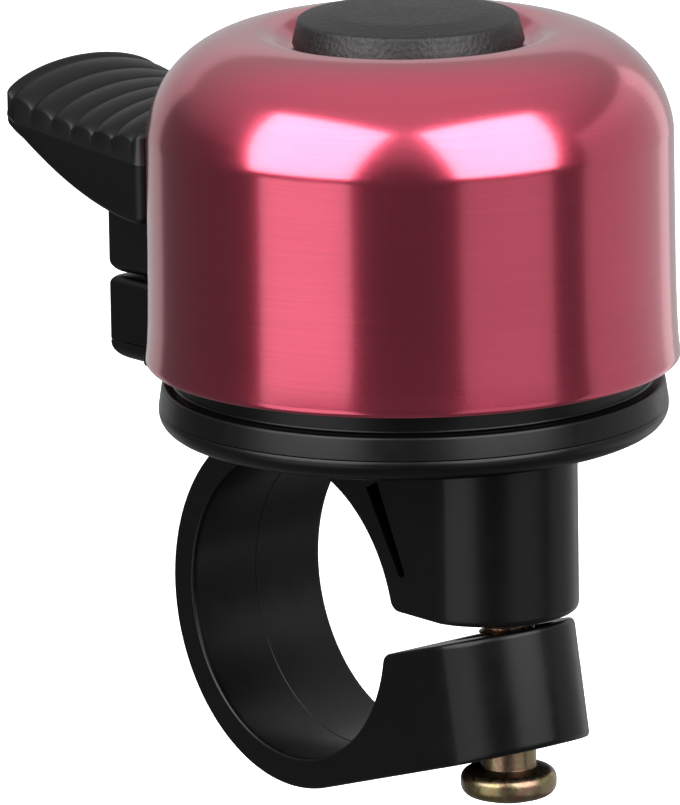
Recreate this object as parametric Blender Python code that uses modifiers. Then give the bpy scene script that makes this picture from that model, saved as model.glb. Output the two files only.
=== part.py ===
"""Bicycle bell: an alloy dome on a moulded base with a sprung thumb lever and a handlebar clamp.

Metres, +Z up.  The origin is the centre of the handlebar bore at mid-width.  +Y runs along the
handlebar, +X points from the bore to the clamp screw, and the dome stands above the bore.
"""
import bpy
import bmesh
from math import asin, atan2, cos, degrees, pi, radians, sin, sqrt
from mathutils import Matrix, Vector

MM = 0.001
GAP = 0.3 * MM                      # clearance between neighbouring pieces
THREAD_GAP = 0.1 * MM               # clearance round a screw in a threaded or close-fitting piece
CUT_PAST = 1.0 * MM                 # how far a cutter runs past the face that it cuts through

# Handlebar clamp
BORE_RADIUS = 11.1 * MM             # 22.2 mm handlebar
BORE_CLOSE_IN = 1.15 * MM           # the free jaw side of the relaxed clamp sits inside the bar circle
RING_WALL = 2.15 * MM
CLAMP_HALF_WIDTH = 5.8 * MM
UPPER_JAW_END_X = 15.2 * MM         # centres of the round jaw ends
LOWER_JAW_END_X = 14.6 * MM
UPPER_JAW_BOTTOM_Z = 2.2 * MM
JAW_TILT = radians(17.5)            # slope of the lower jaw's underside
JAW_TOP_TILT = radians(16.7)        # slope of its top face, which tapers the jaw slightly
JAW_END_TILT = radians(10.5)        # lean of its round end
LOWER_JAW_TOP = -3.95 * MM          # offsets of the jaw's two faces from the bore centre
LOWER_JAW_BOTTOM = -12.5 * MM
JAW_CORNER = 0.9 * MM
JAW_STOCK_END = 26.0 * MM           # jaws are drawn this long before their ends are rounded
JAW_REACH = 40.0 * MM
JAW_SLOT_INWARD = 2.1 * MM          # the lower jaw's screw hole runs this far each way of the screw
JAW_SLOT_OUTWARD = 1.5 * MM
RING_OVERLAP = 0.5 * MM             # the jaw block runs this far into the bowl
UPPER_RING_END = 124.0              # where the ring meets the jaw block, in degrees round the bore
RING_TO_BLOCK_X = -6.9 * MM         # and where the block's top begins
JAW_INNER_END = 343.0               # end of the lower jaw's bore face, in degrees
JAW_CORNER_ANGLE = 350.0
POCKET_DEPTH = 3.9 * MM             # core-out pocket on each side of the upper jaw
POCKET_HEAD = (9.0 * MM, 10.8 * MM)
POCKET_FOOT = (12.05 * MM, 5.1 * MM)
POCKET_HEAD_WIDTH = 1.35 * MM
POCKET_FOOT_WIDTH = 0.7 * MM

# Dome and its stack
DOME_X = 6.7 * MM                   # dome axis
RIM_Z = 18.6 * MM
DOME_RADIUS = 18.2 * MM
DOME_WALL = 0.9 * MM
DOME_STRAIGHT = 16.2 * MM           # height of the cylindrical wall
DOME_RIDGE_RADIUS = 10.4 * MM
DOME_RIDGE_Z = RIM_Z + 23.1 * MM
DOME_SEAT_RADIUS = 7.6 * MM         # step down inside the ridge, under the cap
DOME_SEAT_Z = RIM_Z + 21.9 * MM
DOME_FLOOR_ROUNDING = 0.3 * MM       # between the floor and the wall of the sunk centre
DOME_SEAT_INSET = 0.5 * MM          # lean of that wall
DOME_SEAT_WIDTH = 0.9 * MM
DOME_SEAT_RISE = 0.1 * MM
DOME_RIDGE_INSET = 1.0 * MM         # inner slope of the ridge
DOME_RIDGE_FALL = 0.35 * MM
DOME_LIP_HEIGHT = 1.5 * MM          # the rim flares slightly over this height
DOME_LIP_FLARE = 0.2 * MM
DOME_FLOOR_RADIUS = 6.5 * MM
DOME_FLOOR_Z = RIM_Z + 19.3 * MM
CAP_RADIUS = 8.05 * MM
CAP_TOP_RADIUS = 7.6 * MM
CAP_BOTTOM_Z = RIM_Z + 22.15 * MM
CAP_SHOULDER_Z = RIM_Z + 23.9 * MM
CAP_TOP_Z = RIM_Z + 24.6 * MM
CAP_INNER_TOP_Z = RIM_Z + 23.5 * MM
CAP_PLUG_WALL = 1.1 * MM
CAP_CROWN = ((0.45, 0.1 * MM), (0.8, 0.4 * MM))     # share of the top's radius, and fall there
SCREW_RADIUS = 2.0 * MM             # M4
WASHER_RADIUS = 4.3 * MM
FLAT_WASHER_HEIGHT = 0.5 * MM
LOCK_WASHER_RADIUS = 3.7 * MM
LOCK_WASHER_HEIGHT = 0.7 * MM
LOCK_SPLIT = 0.5 * MM                # gap cut through the lock washer
CROSS_LENGTH = 3.0 * MM             # arms of a cross-headed drive
CROSS_WIDTH = 0.8 * MM
CROSS_DEPTH = 1.0 * MM
SHARP_EDGE = 0.02 * MM              # bevel of a cutter whose edges stay sharp
SCREW_POINT = 0.5 * MM              # bevel at a screw's end
DOME_SCREW_GRIP = 7.0 * MM          # length of the dome screw inside the post
DOME_SCREW_HEAD_RADIUS = 3.4 * MM
DOME_SCREW_HEAD_HEIGHT = 1.6 * MM
POST_RADIUS = 3.6 * MM
POST_TOP_Z = 34.9 * MM
POST_HOLE_BOTTOM_Z = 19.75 * MM     # blind end of the hole down the centre post
SPACER_RADIUS = 5.2 * MM
GROMMET_RADIUS = 4.7 * MM
INSERT_RADIUS = 2.9 * MM
INSERT_LENGTH = 6.5 * MM
EDGE_BREAK = 0.2 * MM               # bevel on the edges of small turned and moulded pieces

# Base: a tray under the dome and the bowl that is moulded with the clamp
BASE_BOTTOM_Z = 13.75 * MM
BASE_PART_Z = 15.35 * MM            # parting line between bowl and tray
TRAY_TOP_Z = 17.05 * MM
TRAY_STEP_Z = 19.3 * MM
BASE_BOTTOM_RADIUS = 16.2 * MM
BASE_RADIUS = 17.7 * MM
TRAY_TOP_RADIUS = 17.45 * MM
TRAY_STEP_RADIUS = 16.6 * MM
TRAY_STEP_WIDTH = 1.6 * MM
FOOT_RISE = 0.2 * MM                # post foot and bridge start this far above the bowl's bottom
BRIDGE_REACH = 12.0 * MM            # bridge ends this far from the dome's axis

# Lever post, lever and striker, beside the dome at -X
POST_CENTRE_X = -19.3 * MM
POST_LENGTH = 7.5 * MM              # along X
POST_WIDTH = 7.0 * MM               # along Y
TRAY_POST_ROUNDING = 0.8 * MM
LEVER_POST_ROUNDING = 1.1 * MM
FOOT_ROUNDING = 0.45 * MM
LEVER_POST_TOP_Z = 28.0 * MM        # top of the lever's half of the post, inside the hull
HINGE_Z = 20.15 * MM
HINGE_X = -22.0 * MM
PAD_HALF_WIDTH = 6.85 * MM
PAD_OUTER_X = -30.3 * MM
PAD_INNER_X = -14.7 * MM
PAD_CREST = 1.9 * MM                # height of the crown over the side edges
PAD_LOW_X = -19.5 * MM              # where the side edges are lowest
PAD_LOW_Z = 31.4 * MM
PAD_SWEEP = 12.0                    # curvature of the side edges, per metre
HULL_INNER_Z = 25.3 * MM            # underside at the post
HULL_RISE = 5.3 * MM                # from there to the outer tip
HULL_POWER = 1.85
HULL_EDGE = 0.5 * MM                # bevel along the lower edges
LEVER_STATIONS = 12
SPRING_RADIUS = 1.75 * MM           # mean radius of the coil
SPRING_WIRE = 0.35 * MM
COIL_GAP = 0.12 * MM                # between neighbouring turns
COIL_POINTS = 10                    # control points in a turn
PEG_RADIUS = 1.0 * MM               # moulded pegs inside the coil's two ends
PEG_TOP_Z = 19.4 * MM
SPRING_BOTTOM_Z = 15.2 * MM
SPRING_TOP_Z = 25.6 * MM
HAMMER_Z = 28.6 * MM
HAMMER_HEAD_RADIUS = 2.3 * MM
HAMMER_SHANK_RADIUS = 1.2 * MM
HAMMER_SHANK_END_X = -21.8 * MM
HAMMER_CROWN = ((0.45, 0.12 * MM), (0.8, 0.45 * MM), (1.0, 1.0 * MM))   # share of the head, fall
HAMMER_GAP = 0.45 * MM              # to the dome at rest

# Clamp screw
CLAMP_SCREW_X = 16.4 * MM
SCREW_HEAD_TOP_Z = -8.85 * MM
SCREW_HEAD_HEIGHT = 2.2 * MM
SCREW_HEAD_RADIUS = 3.33 * MM
SCREW_TOP_Z = 13.2 * MM
NUT_FLATS = 7.0 * MM
NUT_HEIGHT = 3.2 * MM
NUT_BOTTOM_Z = 9.4 * MM
RETAINER_RADIUS = 2.85 * MM
RETAINER_HEIGHT = 0.35 * MM
RETAINER_GAP = 0.1 * MM             # to the jaw above it
SCREW_HOLE_TOP_Z = 14.5 * MM

ROUND = 48                          # steps of a large turned piece
SMALL_ROUND = 24


def clear_scene():
    for thing in list(bpy.data.objects):
        bpy.data.objects.remove(thing, do_unlink=True)


def make_collection(name):
    group = bpy.data.collections.new(name)
    bpy.context.scene.collection.children.link(group)
    return group


clear_scene()
PARTS = make_collection("bicycle_bell")
CUTTERS = make_collection("cutters")


# ---------------------------------------------------------------- materials
def make_material(name, colour, roughness, metallic=0.0):
    material = bpy.data.materials.new(name)
    material.use_nodes = True
    shader = material.node_tree.nodes["Principled BSDF"]
    shader.inputs["Base Color"].default_value = (*colour, 1.0)
    shader.inputs["Roughness"].default_value = roughness
    shader.inputs["Metallic"].default_value = metallic
    material.diffuse_color = (*colour, 1.0)
    return material


BLACK = (0.012, 0.012, 0.013)
ZINC = (0.62, 0.62, 0.60)
YELLOW_ZINC = (0.66, 0.53, 0.33)


# ---------------------------------------------------------------- building blocks
def add_object(name, mesh, group=PARTS):
    thing = bpy.data.objects.new(name, mesh)
    group.objects.link(thing)
    if group is CUTTERS:
        thing.hide_render = True
        thing.display_type = "WIRE"
    return thing


def finish_part(thing, colour, roughness, metallic=0.0, sharp_angle=40.0):
    """Give a part its own material and smooth its round faces."""
    thing.data.materials.clear()
    thing.data.materials.append(make_material(thing.name, colour, roughness, metallic))
    thing.data.shade_smooth()
    thing.data.set_sharp_from_angle(angle=radians(sharp_angle))
    return thing


def turned(name, profile, centre=(0.0, 0.0), steps=ROUND, closed=True, group=PARTS):
    """Turn a profile of (radius, z) points about the vertical axis through centre."""
    mesh = bpy.data.meshes.new(name)
    points = [(radius, 0.0, z) for radius, z in profile]
    edges = [(i, i + 1) for i in range(len(points) - 1)]
    if closed:
        edges.append((len(points) - 1, 0))
    mesh.from_pydata(points, edges, [])
    thing = add_object(name, mesh, group)
    thing.location = (centre[0], centre[1], 0.0)
    screw = thing.modifiers.new("turn", "SCREW")
    screw.axis = "Z"
    screw.steps = steps
    screw.render_steps = steps
    screw.use_merge_vertices = True
    screw.merge_threshold = 1e-6
    return thing


def washer_profile(inner, outer, low, high, edge=0.0):
    """Rectangle section of a ring, with both outer corners broken by edge."""
    if not edge:
        return [(inner, high), (outer, high), (outer, low), (inner, low)]
    return [(inner, high), (outer - edge, high), (outer, high - edge),
            (outer, low + edge), (outer - edge, low), (inner, low)]


def arc(centre, radius, start, end, count):
    """Points on a circle, angles in degrees."""
    step = (end - start) / (count - 1)
    return [(centre[0] + radius * cos(radians(start + i * step)),
             centre[1] + radius * sin(radians(start + i * step))) for i in range(count)]


def prism(name, outline, low, high, upright=False, group=PARTS):
    """Extrude a closed outline.

    Flat outlines lie in XY and rise from low to high; upright ones lie in XZ and run along Y.
    """
    curve = bpy.data.curves.new(name, "CURVE")
    curve.dimensions = "2D"
    curve.fill_mode = "BOTH"
    curve.extrude = (high - low) / 2
    spline = curve.splines.new("POLY")
    spline.points.add(len(outline) - 1)
    for point, (x, y) in zip(spline.points, outline):
        point.co = (x, y, 0.0, 1.0)
    spline.use_cyclic_u = True
    source = add_object(name + "_outline", curve, group)
    middle = (high + low) / 2
    if upright:
        source.matrix_world = Matrix.Translation((0, middle, 0)) @ Matrix.Rotation(pi / 2, 4, "X")
    else:
        source.matrix_world = Matrix.Translation((0, 0, middle))
    return curve_to_mesh(source, name, group)


def curve_to_mesh(source, name, group=PARTS):
    """Replace a curve object with a closed mesh object of the same shape and place."""
    bpy.context.view_layer.update()
    graph = bpy.context.evaluated_depsgraph_get()
    mesh = bpy.data.meshes.new_from_object(source.evaluated_get(graph))
    shape = bmesh.new()
    shape.from_mesh(mesh)
    bmesh.ops.remove_doubles(shape, verts=shape.verts, dist=1e-7)
    bmesh.ops.recalc_face_normals(shape, faces=shape.faces)
    shape.to_mesh(mesh)
    shape.free()
    thing = add_object(name, mesh, group)
    thing.matrix_world = source.matrix_world.copy()
    bpy.data.objects.remove(source, do_unlink=True)
    return thing


def combine(thing, tool, operation):
    """Boolean with an exact solver; operation is UNION, DIFFERENCE or INTERSECT."""
    step = thing.modifiers.new(operation.lower(), "BOOLEAN")
    step.operation = operation
    step.solver = "EXACT"
    step.object = tool


def apply_modifiers(thing):
    """Turn the evaluated shape into the object's own mesh, in world space."""
    bpy.context.view_layer.update()
    graph = bpy.context.evaluated_depsgraph_get()
    mesh = bpy.data.meshes.new_from_object(thing.evaluated_get(graph))
    mesh.transform(thing.matrix_world)
    shape = bmesh.new()
    shape.from_mesh(mesh)
    bmesh.ops.remove_doubles(shape, verts=shape.verts, dist=1e-6)
    bmesh.ops.dissolve_degenerate(shape, edges=shape.edges, dist=1e-7)
    shape.to_mesh(mesh)
    shape.free()
    thing.modifiers.clear()
    thing.data = mesh
    thing.matrix_world = Matrix.Identity(4)


def cylinder_cutter(name, radius, low, high, centre, steps=SMALL_ROUND):
    """Closed vertical cylinder used as a tool."""
    profile = [(0.0, high), (radius, high), (radius, low), (0.0, low)]
    return turned(name, profile, centre, steps, closed=False, group=CUTTERS)


def lying_cylinder(name, radius, start, end, axis, group=CUTTERS, steps=SMALL_ROUND):
    """Closed cylinder along X or Y from start to end."""
    shape = bmesh.new()
    length = (Vector(end) - Vector(start)).length
    bmesh.ops.create_cone(shape, cap_ends=True, segments=steps, radius1=radius, radius2=radius,
                          depth=length)
    turn = Matrix.Rotation(pi / 2, 4, "Y") if axis == "X" else Matrix.Rotation(pi / 2, 4, "X")
    middle = (Vector(start) + Vector(end)) / 2
    shape.transform(Matrix.Translation(middle) @ turn)
    mesh = bpy.data.meshes.new(name)
    shape.to_mesh(mesh)
    shape.free()
    return add_object(name, mesh, group)


def rounded_box(name, low, high, rounding, segments=3, group=PARTS):
    """Box between two corners with all edges rounded."""
    shape = bmesh.new()
    bmesh.ops.create_cube(shape, size=1.0)
    size = Vector(high) - Vector(low)
    shape.transform(Matrix.Translation((Vector(low) + Vector(high)) / 2) @
                    Matrix.Diagonal((*size, 1.0)))
    mesh = bpy.data.meshes.new(name)
    shape.to_mesh(mesh)
    shape.free()
    thing = add_object(name, mesh, group)
    bevel = thing.modifiers.new("rounding", "BEVEL")
    bevel.width = rounding
    bevel.segments = segments
    return thing


# ---------------------------------------------------------------- clamp outlines
def bore_at(angle):
    """Inner radius of the relaxed clamp at an angle in degrees; its lower jaw side closes in."""
    if angle <= 180.0:
        return BORE_RADIUS
    return BORE_RADIUS - BORE_CLOSE_IN * sin(radians(angle - 180.0) / 2) ** 2


def ring_points(wall, start, end, count):
    """Points along the clamp ring at a wall's distance outside its inner face."""
    points = []
    for i in range(count):
        angle = start + (end - start) * i / (count - 1)
        radius = bore_at(angle) + wall
        points.append((radius * cos(radians(angle)), radius * sin(radians(angle))))
    return points


def jaw_frame(along, offset, tilt):
    """Point of the lower jaw: distance along a slope and offset across it."""
    return (along * cos(tilt) - offset * sin(tilt), along * sin(tilt) + offset * cos(tilt))


def arm_outline():
    """Lower half of the ring with the lower jaw, in XZ."""
    split_degrees = 180.0 + degrees(asin(GAP / 2 / BORE_RADIUS))
    outer = ring_points(RING_WALL, split_degrees, 270.0 + degrees(JAW_TILT), 20)
    bottom_end = jaw_frame(JAW_STOCK_END, LOWER_JAW_BOTTOM, JAW_TILT)
    top_end = jaw_frame(JAW_STOCK_END, LOWER_JAW_TOP, JAW_TOP_TILT)
    corner_along = sqrt((bore_at(JAW_CORNER_ANGLE) + JAW_CORNER) ** 2 - (LOWER_JAW_TOP - JAW_CORNER) ** 2)
    corner = [jaw_frame(corner_along + JAW_CORNER * cos(radians(a)),
                        LOWER_JAW_TOP - JAW_CORNER + JAW_CORNER * sin(radians(a)), JAW_TOP_TILT)
              for a in (90, 115, 140, 165)]
    inner = ring_points(0.0, JAW_INNER_END, split_degrees, 26)
    return outer + [bottom_end, top_end] + corner + inner


def jaw_plan(name, centre_x, tilt, reach):
    """Stadium-ended block that rounds a jaw's end in plan; it leans with the jaw."""
    outline = [(-JAW_REACH, -CLAMP_HALF_WIDTH)]
    outline += arc((centre_x, 0.0), CLAMP_HALF_WIDTH, -90.0, 90.0, 13)
    outline += [(-JAW_REACH, CLAMP_HALF_WIDTH)]
    thing = prism(name, outline, -reach, reach, group=CUTTERS)
    thing.matrix_world = Matrix.Rotation(-tilt, 4, "Y") @ thing.matrix_world
    return thing


# ---------------------------------------------------------------- dome and its stack
def dome_profile():
    """Outer face of the dome from the centre hole, over the ridge and down to the rim."""
    hole = SCREW_RADIUS + GAP
    seat = [(hole, DOME_FLOOR_Z), (DOME_FLOOR_RADIUS, DOME_FLOOR_Z),
            (DOME_FLOOR_RADIUS + DOME_FLOOR_ROUNDING, DOME_FLOOR_Z + DOME_FLOOR_ROUNDING),
            (DOME_SEAT_RADIUS - DOME_SEAT_INSET, DOME_SEAT_Z - DOME_FLOOR_ROUNDING),
            (DOME_SEAT_RADIUS, DOME_SEAT_Z),
            (DOME_SEAT_RADIUS + DOME_SEAT_WIDTH, DOME_SEAT_Z + DOME_SEAT_RISE),
            (DOME_RIDGE_RADIUS - DOME_RIDGE_INSET, DOME_RIDGE_Z - DOME_RIDGE_FALL)]
    wide = DOME_RADIUS - DOME_RIDGE_RADIUS
    tall = DOME_RIDGE_Z - RIM_Z - DOME_STRAIGHT
    steps = 8
    shoulder = [(DOME_RIDGE_RADIUS + wide * sin(a), RIM_Z + DOME_STRAIGHT + tall * cos(a))
                for a in [i * pi / 2 / steps for i in range(steps + 1)]]
    lip = [(DOME_RADIUS, RIM_Z + DOME_LIP_HEIGHT), (DOME_RADIUS + DOME_LIP_FLARE, RIM_Z)]
    return seat + shoulder + lip


def build_dome():
    dome = turned("bell_dome", dome_profile(), (DOME_X, 0.0), closed=False)
    shell = dome.modifiers.new("wall", "SOLIDIFY")
    shell.thickness = DOME_WALL
    shell.offset = -1.0
    finish_part(dome, (0.60, 0.055, 0.13), 0.25, 1.0)


def build_cap():
    top = [(0.0, CAP_TOP_Z)]
    top += [(CAP_TOP_RADIUS * share, CAP_TOP_Z - fall) for share, fall in CAP_CROWN]
    top += [(CAP_TOP_RADIUS, CAP_SHOULDER_Z)]
    skirt = [(CAP_RADIUS, CAP_BOTTOM_Z)]
    plug_outer = DOME_FLOOR_RADIUS - GAP
    plug_inner = plug_outer - CAP_PLUG_WALL
    plug_bottom = DOME_FLOOR_Z + GAP
    inside = [(plug_outer, CAP_BOTTOM_Z), (plug_outer, plug_bottom), (plug_inner, plug_bottom),
              (plug_inner, CAP_INNER_TOP_Z), (0.0, CAP_INNER_TOP_Z)]
    cap = turned("dome_cap", top + skirt + inside, (DOME_X, 0.0), closed=False)
    finish_part(cap, BLACK, 0.5)


def build_dome_stack():
    """Screw, washers, grommet and spacer on the dome's axis."""
    centre = (DOME_X, 0.0)
    hole = SCREW_RADIUS + GAP
    flat_low = DOME_FLOOR_Z + GAP
    flat_high = flat_low + FLAT_WASHER_HEIGHT
    lock_low = flat_high + GAP
    lock_high = lock_low + LOCK_WASHER_HEIGHT
    flat = turned("dome_flat_washer", washer_profile(hole, WASHER_RADIUS, flat_low, flat_high),
                  centre, SMALL_ROUND)
    finish_part(flat, ZINC, 0.35, 1.0)

    lock = turned("dome_lock_washer",
                  washer_profile(hole, LOCK_WASHER_RADIUS, lock_low, lock_high),
                  centre, SMALL_ROUND)
    split = rounded_box("lock_split", (DOME_X, -LOCK_SPLIT / 2, lock_low - CUT_PAST),
                        (DOME_X + WASHER_RADIUS + CUT_PAST, LOCK_SPLIT / 2, lock_high + CUT_PAST),
                        SHARP_EDGE, 1, CUTTERS)
    combine(lock, split, "DIFFERENCE")
    finish_part(lock, ZINC, 0.35, 1.0)

    head_low = lock_high + GAP
    head_high = head_low + DOME_SCREW_HEAD_HEIGHT
    tip = POST_TOP_Z - DOME_SCREW_GRIP
    profile = pan_head(head_low, head_high, DOME_SCREW_HEAD_RADIUS, SCREW_RADIUS, tip)
    screw = turned("dome_screw", profile, centre, SMALL_ROUND, closed=False)
    cross = cross_recess("dome_screw_cross", centre, head_high - CROSS_DEPTH, head_high + CUT_PAST)
    combine(screw, cross, "DIFFERENCE")
    finish_part(screw, ZINC, 0.3, 1.0)

    under_dome = DOME_FLOOR_Z - DOME_WALL
    grommet = turned("dome_grommet",
                     washer_profile(hole, GROMMET_RADIUS, POST_TOP_Z + GAP, under_dome - GAP,
                                    EDGE_BREAK), centre, SMALL_ROUND)
    finish_part(grommet, (0.02, 0.02, 0.02), 0.8)

    spacer = turned("spacer_tube",
                    washer_profile(POST_RADIUS + GAP, SPACER_RADIUS, TRAY_TOP_Z + GAP,
                                   POST_TOP_Z - EDGE_BREAK, EDGE_BREAK), centre, SMALL_ROUND)
    finish_part(spacer, (0.7, 0.7, 0.7), 0.4, 1.0)

    insert = turned("post_insert",
                    washer_profile(hole, INSERT_RADIUS, POST_TOP_Z - INSERT_LENGTH,
                                   POST_TOP_Z - GAP, EDGE_BREAK), centre, SMALL_ROUND)
    finish_part(insert, (0.75, 0.55, 0.25), 0.3, 1.0)


def pan_head(low, high, radius, shank, tip):
    """Profile of an upright screw with its head on top."""
    height = high - low
    return [(0.0, high), (radius - 0.45 * height, high), (radius - 0.15 * height, high - 0.3 * height),
            (radius, high - 0.65 * height), (radius, low), (shank, low), (shank, tip + SCREW_POINT),
            (shank - SCREW_POINT, tip), (0.0, tip)]


def cross_recess(name, centre, low, high):
    """Two crossed bars, joined, for a cross-headed drive."""
    half_long = CROSS_LENGTH / 2
    half_short = CROSS_WIDTH / 2
    x, y = centre
    first = rounded_box(name, (x - half_long, y - half_short, low),
                        (x + half_long, y + half_short, high), SHARP_EDGE, 1, CUTTERS)
    second = rounded_box(name + "_second", (x - half_short, y - half_long, low),
                         (x + half_short, y + half_long, high), SHARP_EDGE, 1, CUTTERS)
    combine(first, second, "UNION")
    return first


# ---------------------------------------------------------------- base tray
def post_box(name, low, high, rounding, group=CUTTERS):
    """Rounded block with the lever post's plan."""
    return rounded_box(name, (POST_CENTRE_X - POST_LENGTH / 2, -POST_WIDTH / 2, low),
                       (POST_CENTRE_X + POST_LENGTH / 2, POST_WIDTH / 2, high), rounding, group=group)


def arm_box(name, low, high):
    """Bridge from the lever post to the round base."""
    return rounded_box(name, (POST_CENTRE_X, -POST_WIDTH / 2, low),
                       (DOME_X - BRIDGE_REACH, POST_WIDTH / 2, high), EDGE_BREAK, 1, CUTTERS)


def build_tray():
    """Tray under the dome with the lower half of the lever post."""
    low = BASE_PART_Z + GAP / 2
    hole = POST_RADIUS + GAP
    profile = [(hole, TRAY_TOP_Z), (TRAY_STEP_RADIUS - TRAY_STEP_WIDTH, TRAY_TOP_Z),
               (TRAY_STEP_RADIUS - TRAY_STEP_WIDTH, TRAY_STEP_Z), (TRAY_STEP_RADIUS, TRAY_STEP_Z),
               (TRAY_STEP_RADIUS, TRAY_TOP_Z), (TRAY_TOP_RADIUS - EDGE_BREAK, TRAY_TOP_Z),
               (TRAY_TOP_RADIUS, TRAY_TOP_Z - EDGE_BREAK), (BASE_RADIUS, low), (hole, low)]
    tray = turned("base_tray", profile, (DOME_X, 0.0))
    arm = arm_box("tray_arm", low, TRAY_TOP_Z)
    post = post_box("tray_post", low, HINGE_Z - GAP / 2, TRAY_POST_ROUNDING)
    combine(tray, arm, "UNION")
    combine(tray, post, "UNION")
    socket = cylinder_cutter("tray_socket", SPRING_RADIUS + SPRING_WIRE + GAP, low - CUT_PAST,
                             HINGE_Z + CUT_PAST, (POST_CENTRE_X, 0.0))
    combine(tray, socket, "DIFFERENCE")
    apply_modifiers(tray)
    finish_part(tray, BLACK, 0.4)


# ---------------------------------------------------------------- bracket: bowl, ring top, upper jaw
def build_bracket():
    """Bowl under the tray, centre post, upper half of the ring and the upper jaw."""
    bowl_top = BASE_PART_Z - GAP / 2
    bore_for_screw = SCREW_RADIUS + GAP
    profile = [(bore_for_screw, POST_TOP_Z - INSERT_LENGTH - GAP),
               (INSERT_RADIUS + GAP / 2, POST_TOP_Z - INSERT_LENGTH - GAP),
               (INSERT_RADIUS + GAP / 2, POST_TOP_Z), (POST_RADIUS, POST_TOP_Z),
               (POST_RADIUS, bowl_top), (BASE_RADIUS, bowl_top)]
    profile += [(BASE_BOTTOM_RADIUS + (BASE_RADIUS - BASE_BOTTOM_RADIUS) * cos(a),
                 bowl_top - (bowl_top - BASE_BOTTOM_Z) * sin(a))
                for a in [i * pi / 10 for i in range(1, 6)]]
    profile += [(0.0, BASE_BOTTOM_Z), (0.0, POST_HOLE_BOTTOM_Z),
                (bore_for_screw, POST_HOLE_BOTTOM_Z)]
    bracket = turned("clamp_bracket", profile, (DOME_X, 0.0))

    combine(bracket, upper_clamp(), "UNION")
    arm = arm_box("bracket_arm", BASE_BOTTOM_Z + FOOT_RISE, bowl_top)
    foot = post_box("bracket_foot", BASE_BOTTOM_Z + FOOT_RISE, bowl_top, FOOT_ROUNDING)
    peg = cylinder_cutter("spring_peg", PEG_RADIUS, bowl_top - CUT_PAST / 2, PEG_TOP_Z,
                          (POST_CENTRE_X, 0.0), 16)
    combine(bracket, arm, "UNION")
    combine(bracket, foot, "UNION")
    combine(bracket, peg, "UNION")

    hole = cylinder_cutter("upper_jaw_hole", SCREW_RADIUS + GAP, 0.0, SCREW_HOLE_TOP_Z,
                           (CLAMP_SCREW_X, 0.0))
    nut_pocket = cylinder_cutter("nut_pocket", (NUT_FLATS / 2 + GAP / 2) / cos(pi / 6),
                                 NUT_BOTTOM_Z - GAP, BASE_PART_Z + CUT_PAST,
                                 (CLAMP_SCREW_X, 0.0), 6)
    combine(bracket, hole, "DIFFERENCE")
    combine(bracket, nut_pocket, "DIFFERENCE")
    apply_modifiers(bracket)
    finish_part(bracket, BLACK, 0.4)


def upper_clamp():
    """Upper half of the ring with the jaw block, its corners and its two pockets."""
    split_degrees = 180.0 - degrees(asin(GAP / 2 / BORE_RADIUS))
    top = BASE_BOTTOM_Z + RING_OVERLAP
    right = JAW_STOCK_END
    outer = ring_points(RING_WALL, split_degrees, UPPER_RING_END, 14)
    corner_x = sqrt((BORE_RADIUS + JAW_CORNER) ** 2 - (UPPER_JAW_BOTTOM_Z + JAW_CORNER) ** 2)
    corner_z = UPPER_JAW_BOTTOM_Z + JAW_CORNER
    corner = [(corner_x + JAW_CORNER * cos(radians(a)), corner_z + JAW_CORNER * sin(radians(a)))
              for a in (270, 245, 220, 197)]
    inner = ring_points(0.0, degrees(atan2(corner_z, corner_x)), split_degrees, 30)
    outline = outer + [(RING_TO_BLOCK_X, top), (right, top), (right, UPPER_JAW_BOTTOM_Z)]
    outline += corner + inner
    clamp = prism("upper_clamp", outline, -CLAMP_HALF_WIDTH, CLAMP_HALF_WIDTH, upright=True,
                  group=CUTTERS)
    combine(clamp, jaw_plan("upper_jaw_plan", UPPER_JAW_END_X, 0.0, JAW_REACH), "INTERSECT")
    for side in (-1, 1):
        near = side * (CLAMP_HALF_WIDTH + CUT_PAST)
        far = side * (CLAMP_HALF_WIDTH - POCKET_DEPTH)
        combine(clamp, jaw_pocket("jaw_pocket_%d" % side, min(near, far), max(near, far)),
                "DIFFERENCE")
    return clamp


def jaw_pocket(name, low, high):
    """Straight pocket beside the bore that narrows towards its round foot."""
    head = Vector(POCKET_HEAD)
    foot = Vector(POCKET_FOOT)
    along = (foot - head).normalized()
    across = Vector((-along.y, along.x))
    turn = degrees(atan2(across.y, across.x))
    outline = [tuple(head - across * POCKET_HEAD_WIDTH / 2), tuple(head + across * POCKET_HEAD_WIDTH / 2)]
    outline += arc(foot, POCKET_FOOT_WIDTH / 2, turn, turn - 180.0, 7)
    return prism(name, outline, low, high, upright=True, group=CUTTERS)


# ---------------------------------------------------------------- clamp arm
def build_clamp_arm():
    """Lower half of the ring with the lower jaw, which flexes open about the back of the ring."""
    arm = prism("clamp_arm", arm_outline(), -CLAMP_HALF_WIDTH, CLAMP_HALF_WIDTH, upright=True)
    combine(arm, jaw_plan("lower_jaw_plan", LOWER_JAW_END_X, JAW_END_TILT, JAW_REACH), "INTERSECT")
    slot = jaw_slot()
    combine(arm, slot, "DIFFERENCE")
    apply_modifiers(arm)
    finish_part(arm, BLACK, 0.4)


def jaw_slot():
    """Elongated screw hole that leaves the jaw free to swing."""
    radius = SCREW_RADIUS + GAP
    left = arc((CLAMP_SCREW_X - JAW_SLOT_INWARD, 0.0), radius, 90.0, 270.0, 9)
    right = arc((CLAMP_SCREW_X + JAW_SLOT_OUTWARD, 0.0), radius, -90.0, 90.0, 9)
    return prism("jaw_slot", left + right, -JAW_REACH / 2, JAW_REACH / 2, group=CUTTERS)


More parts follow.
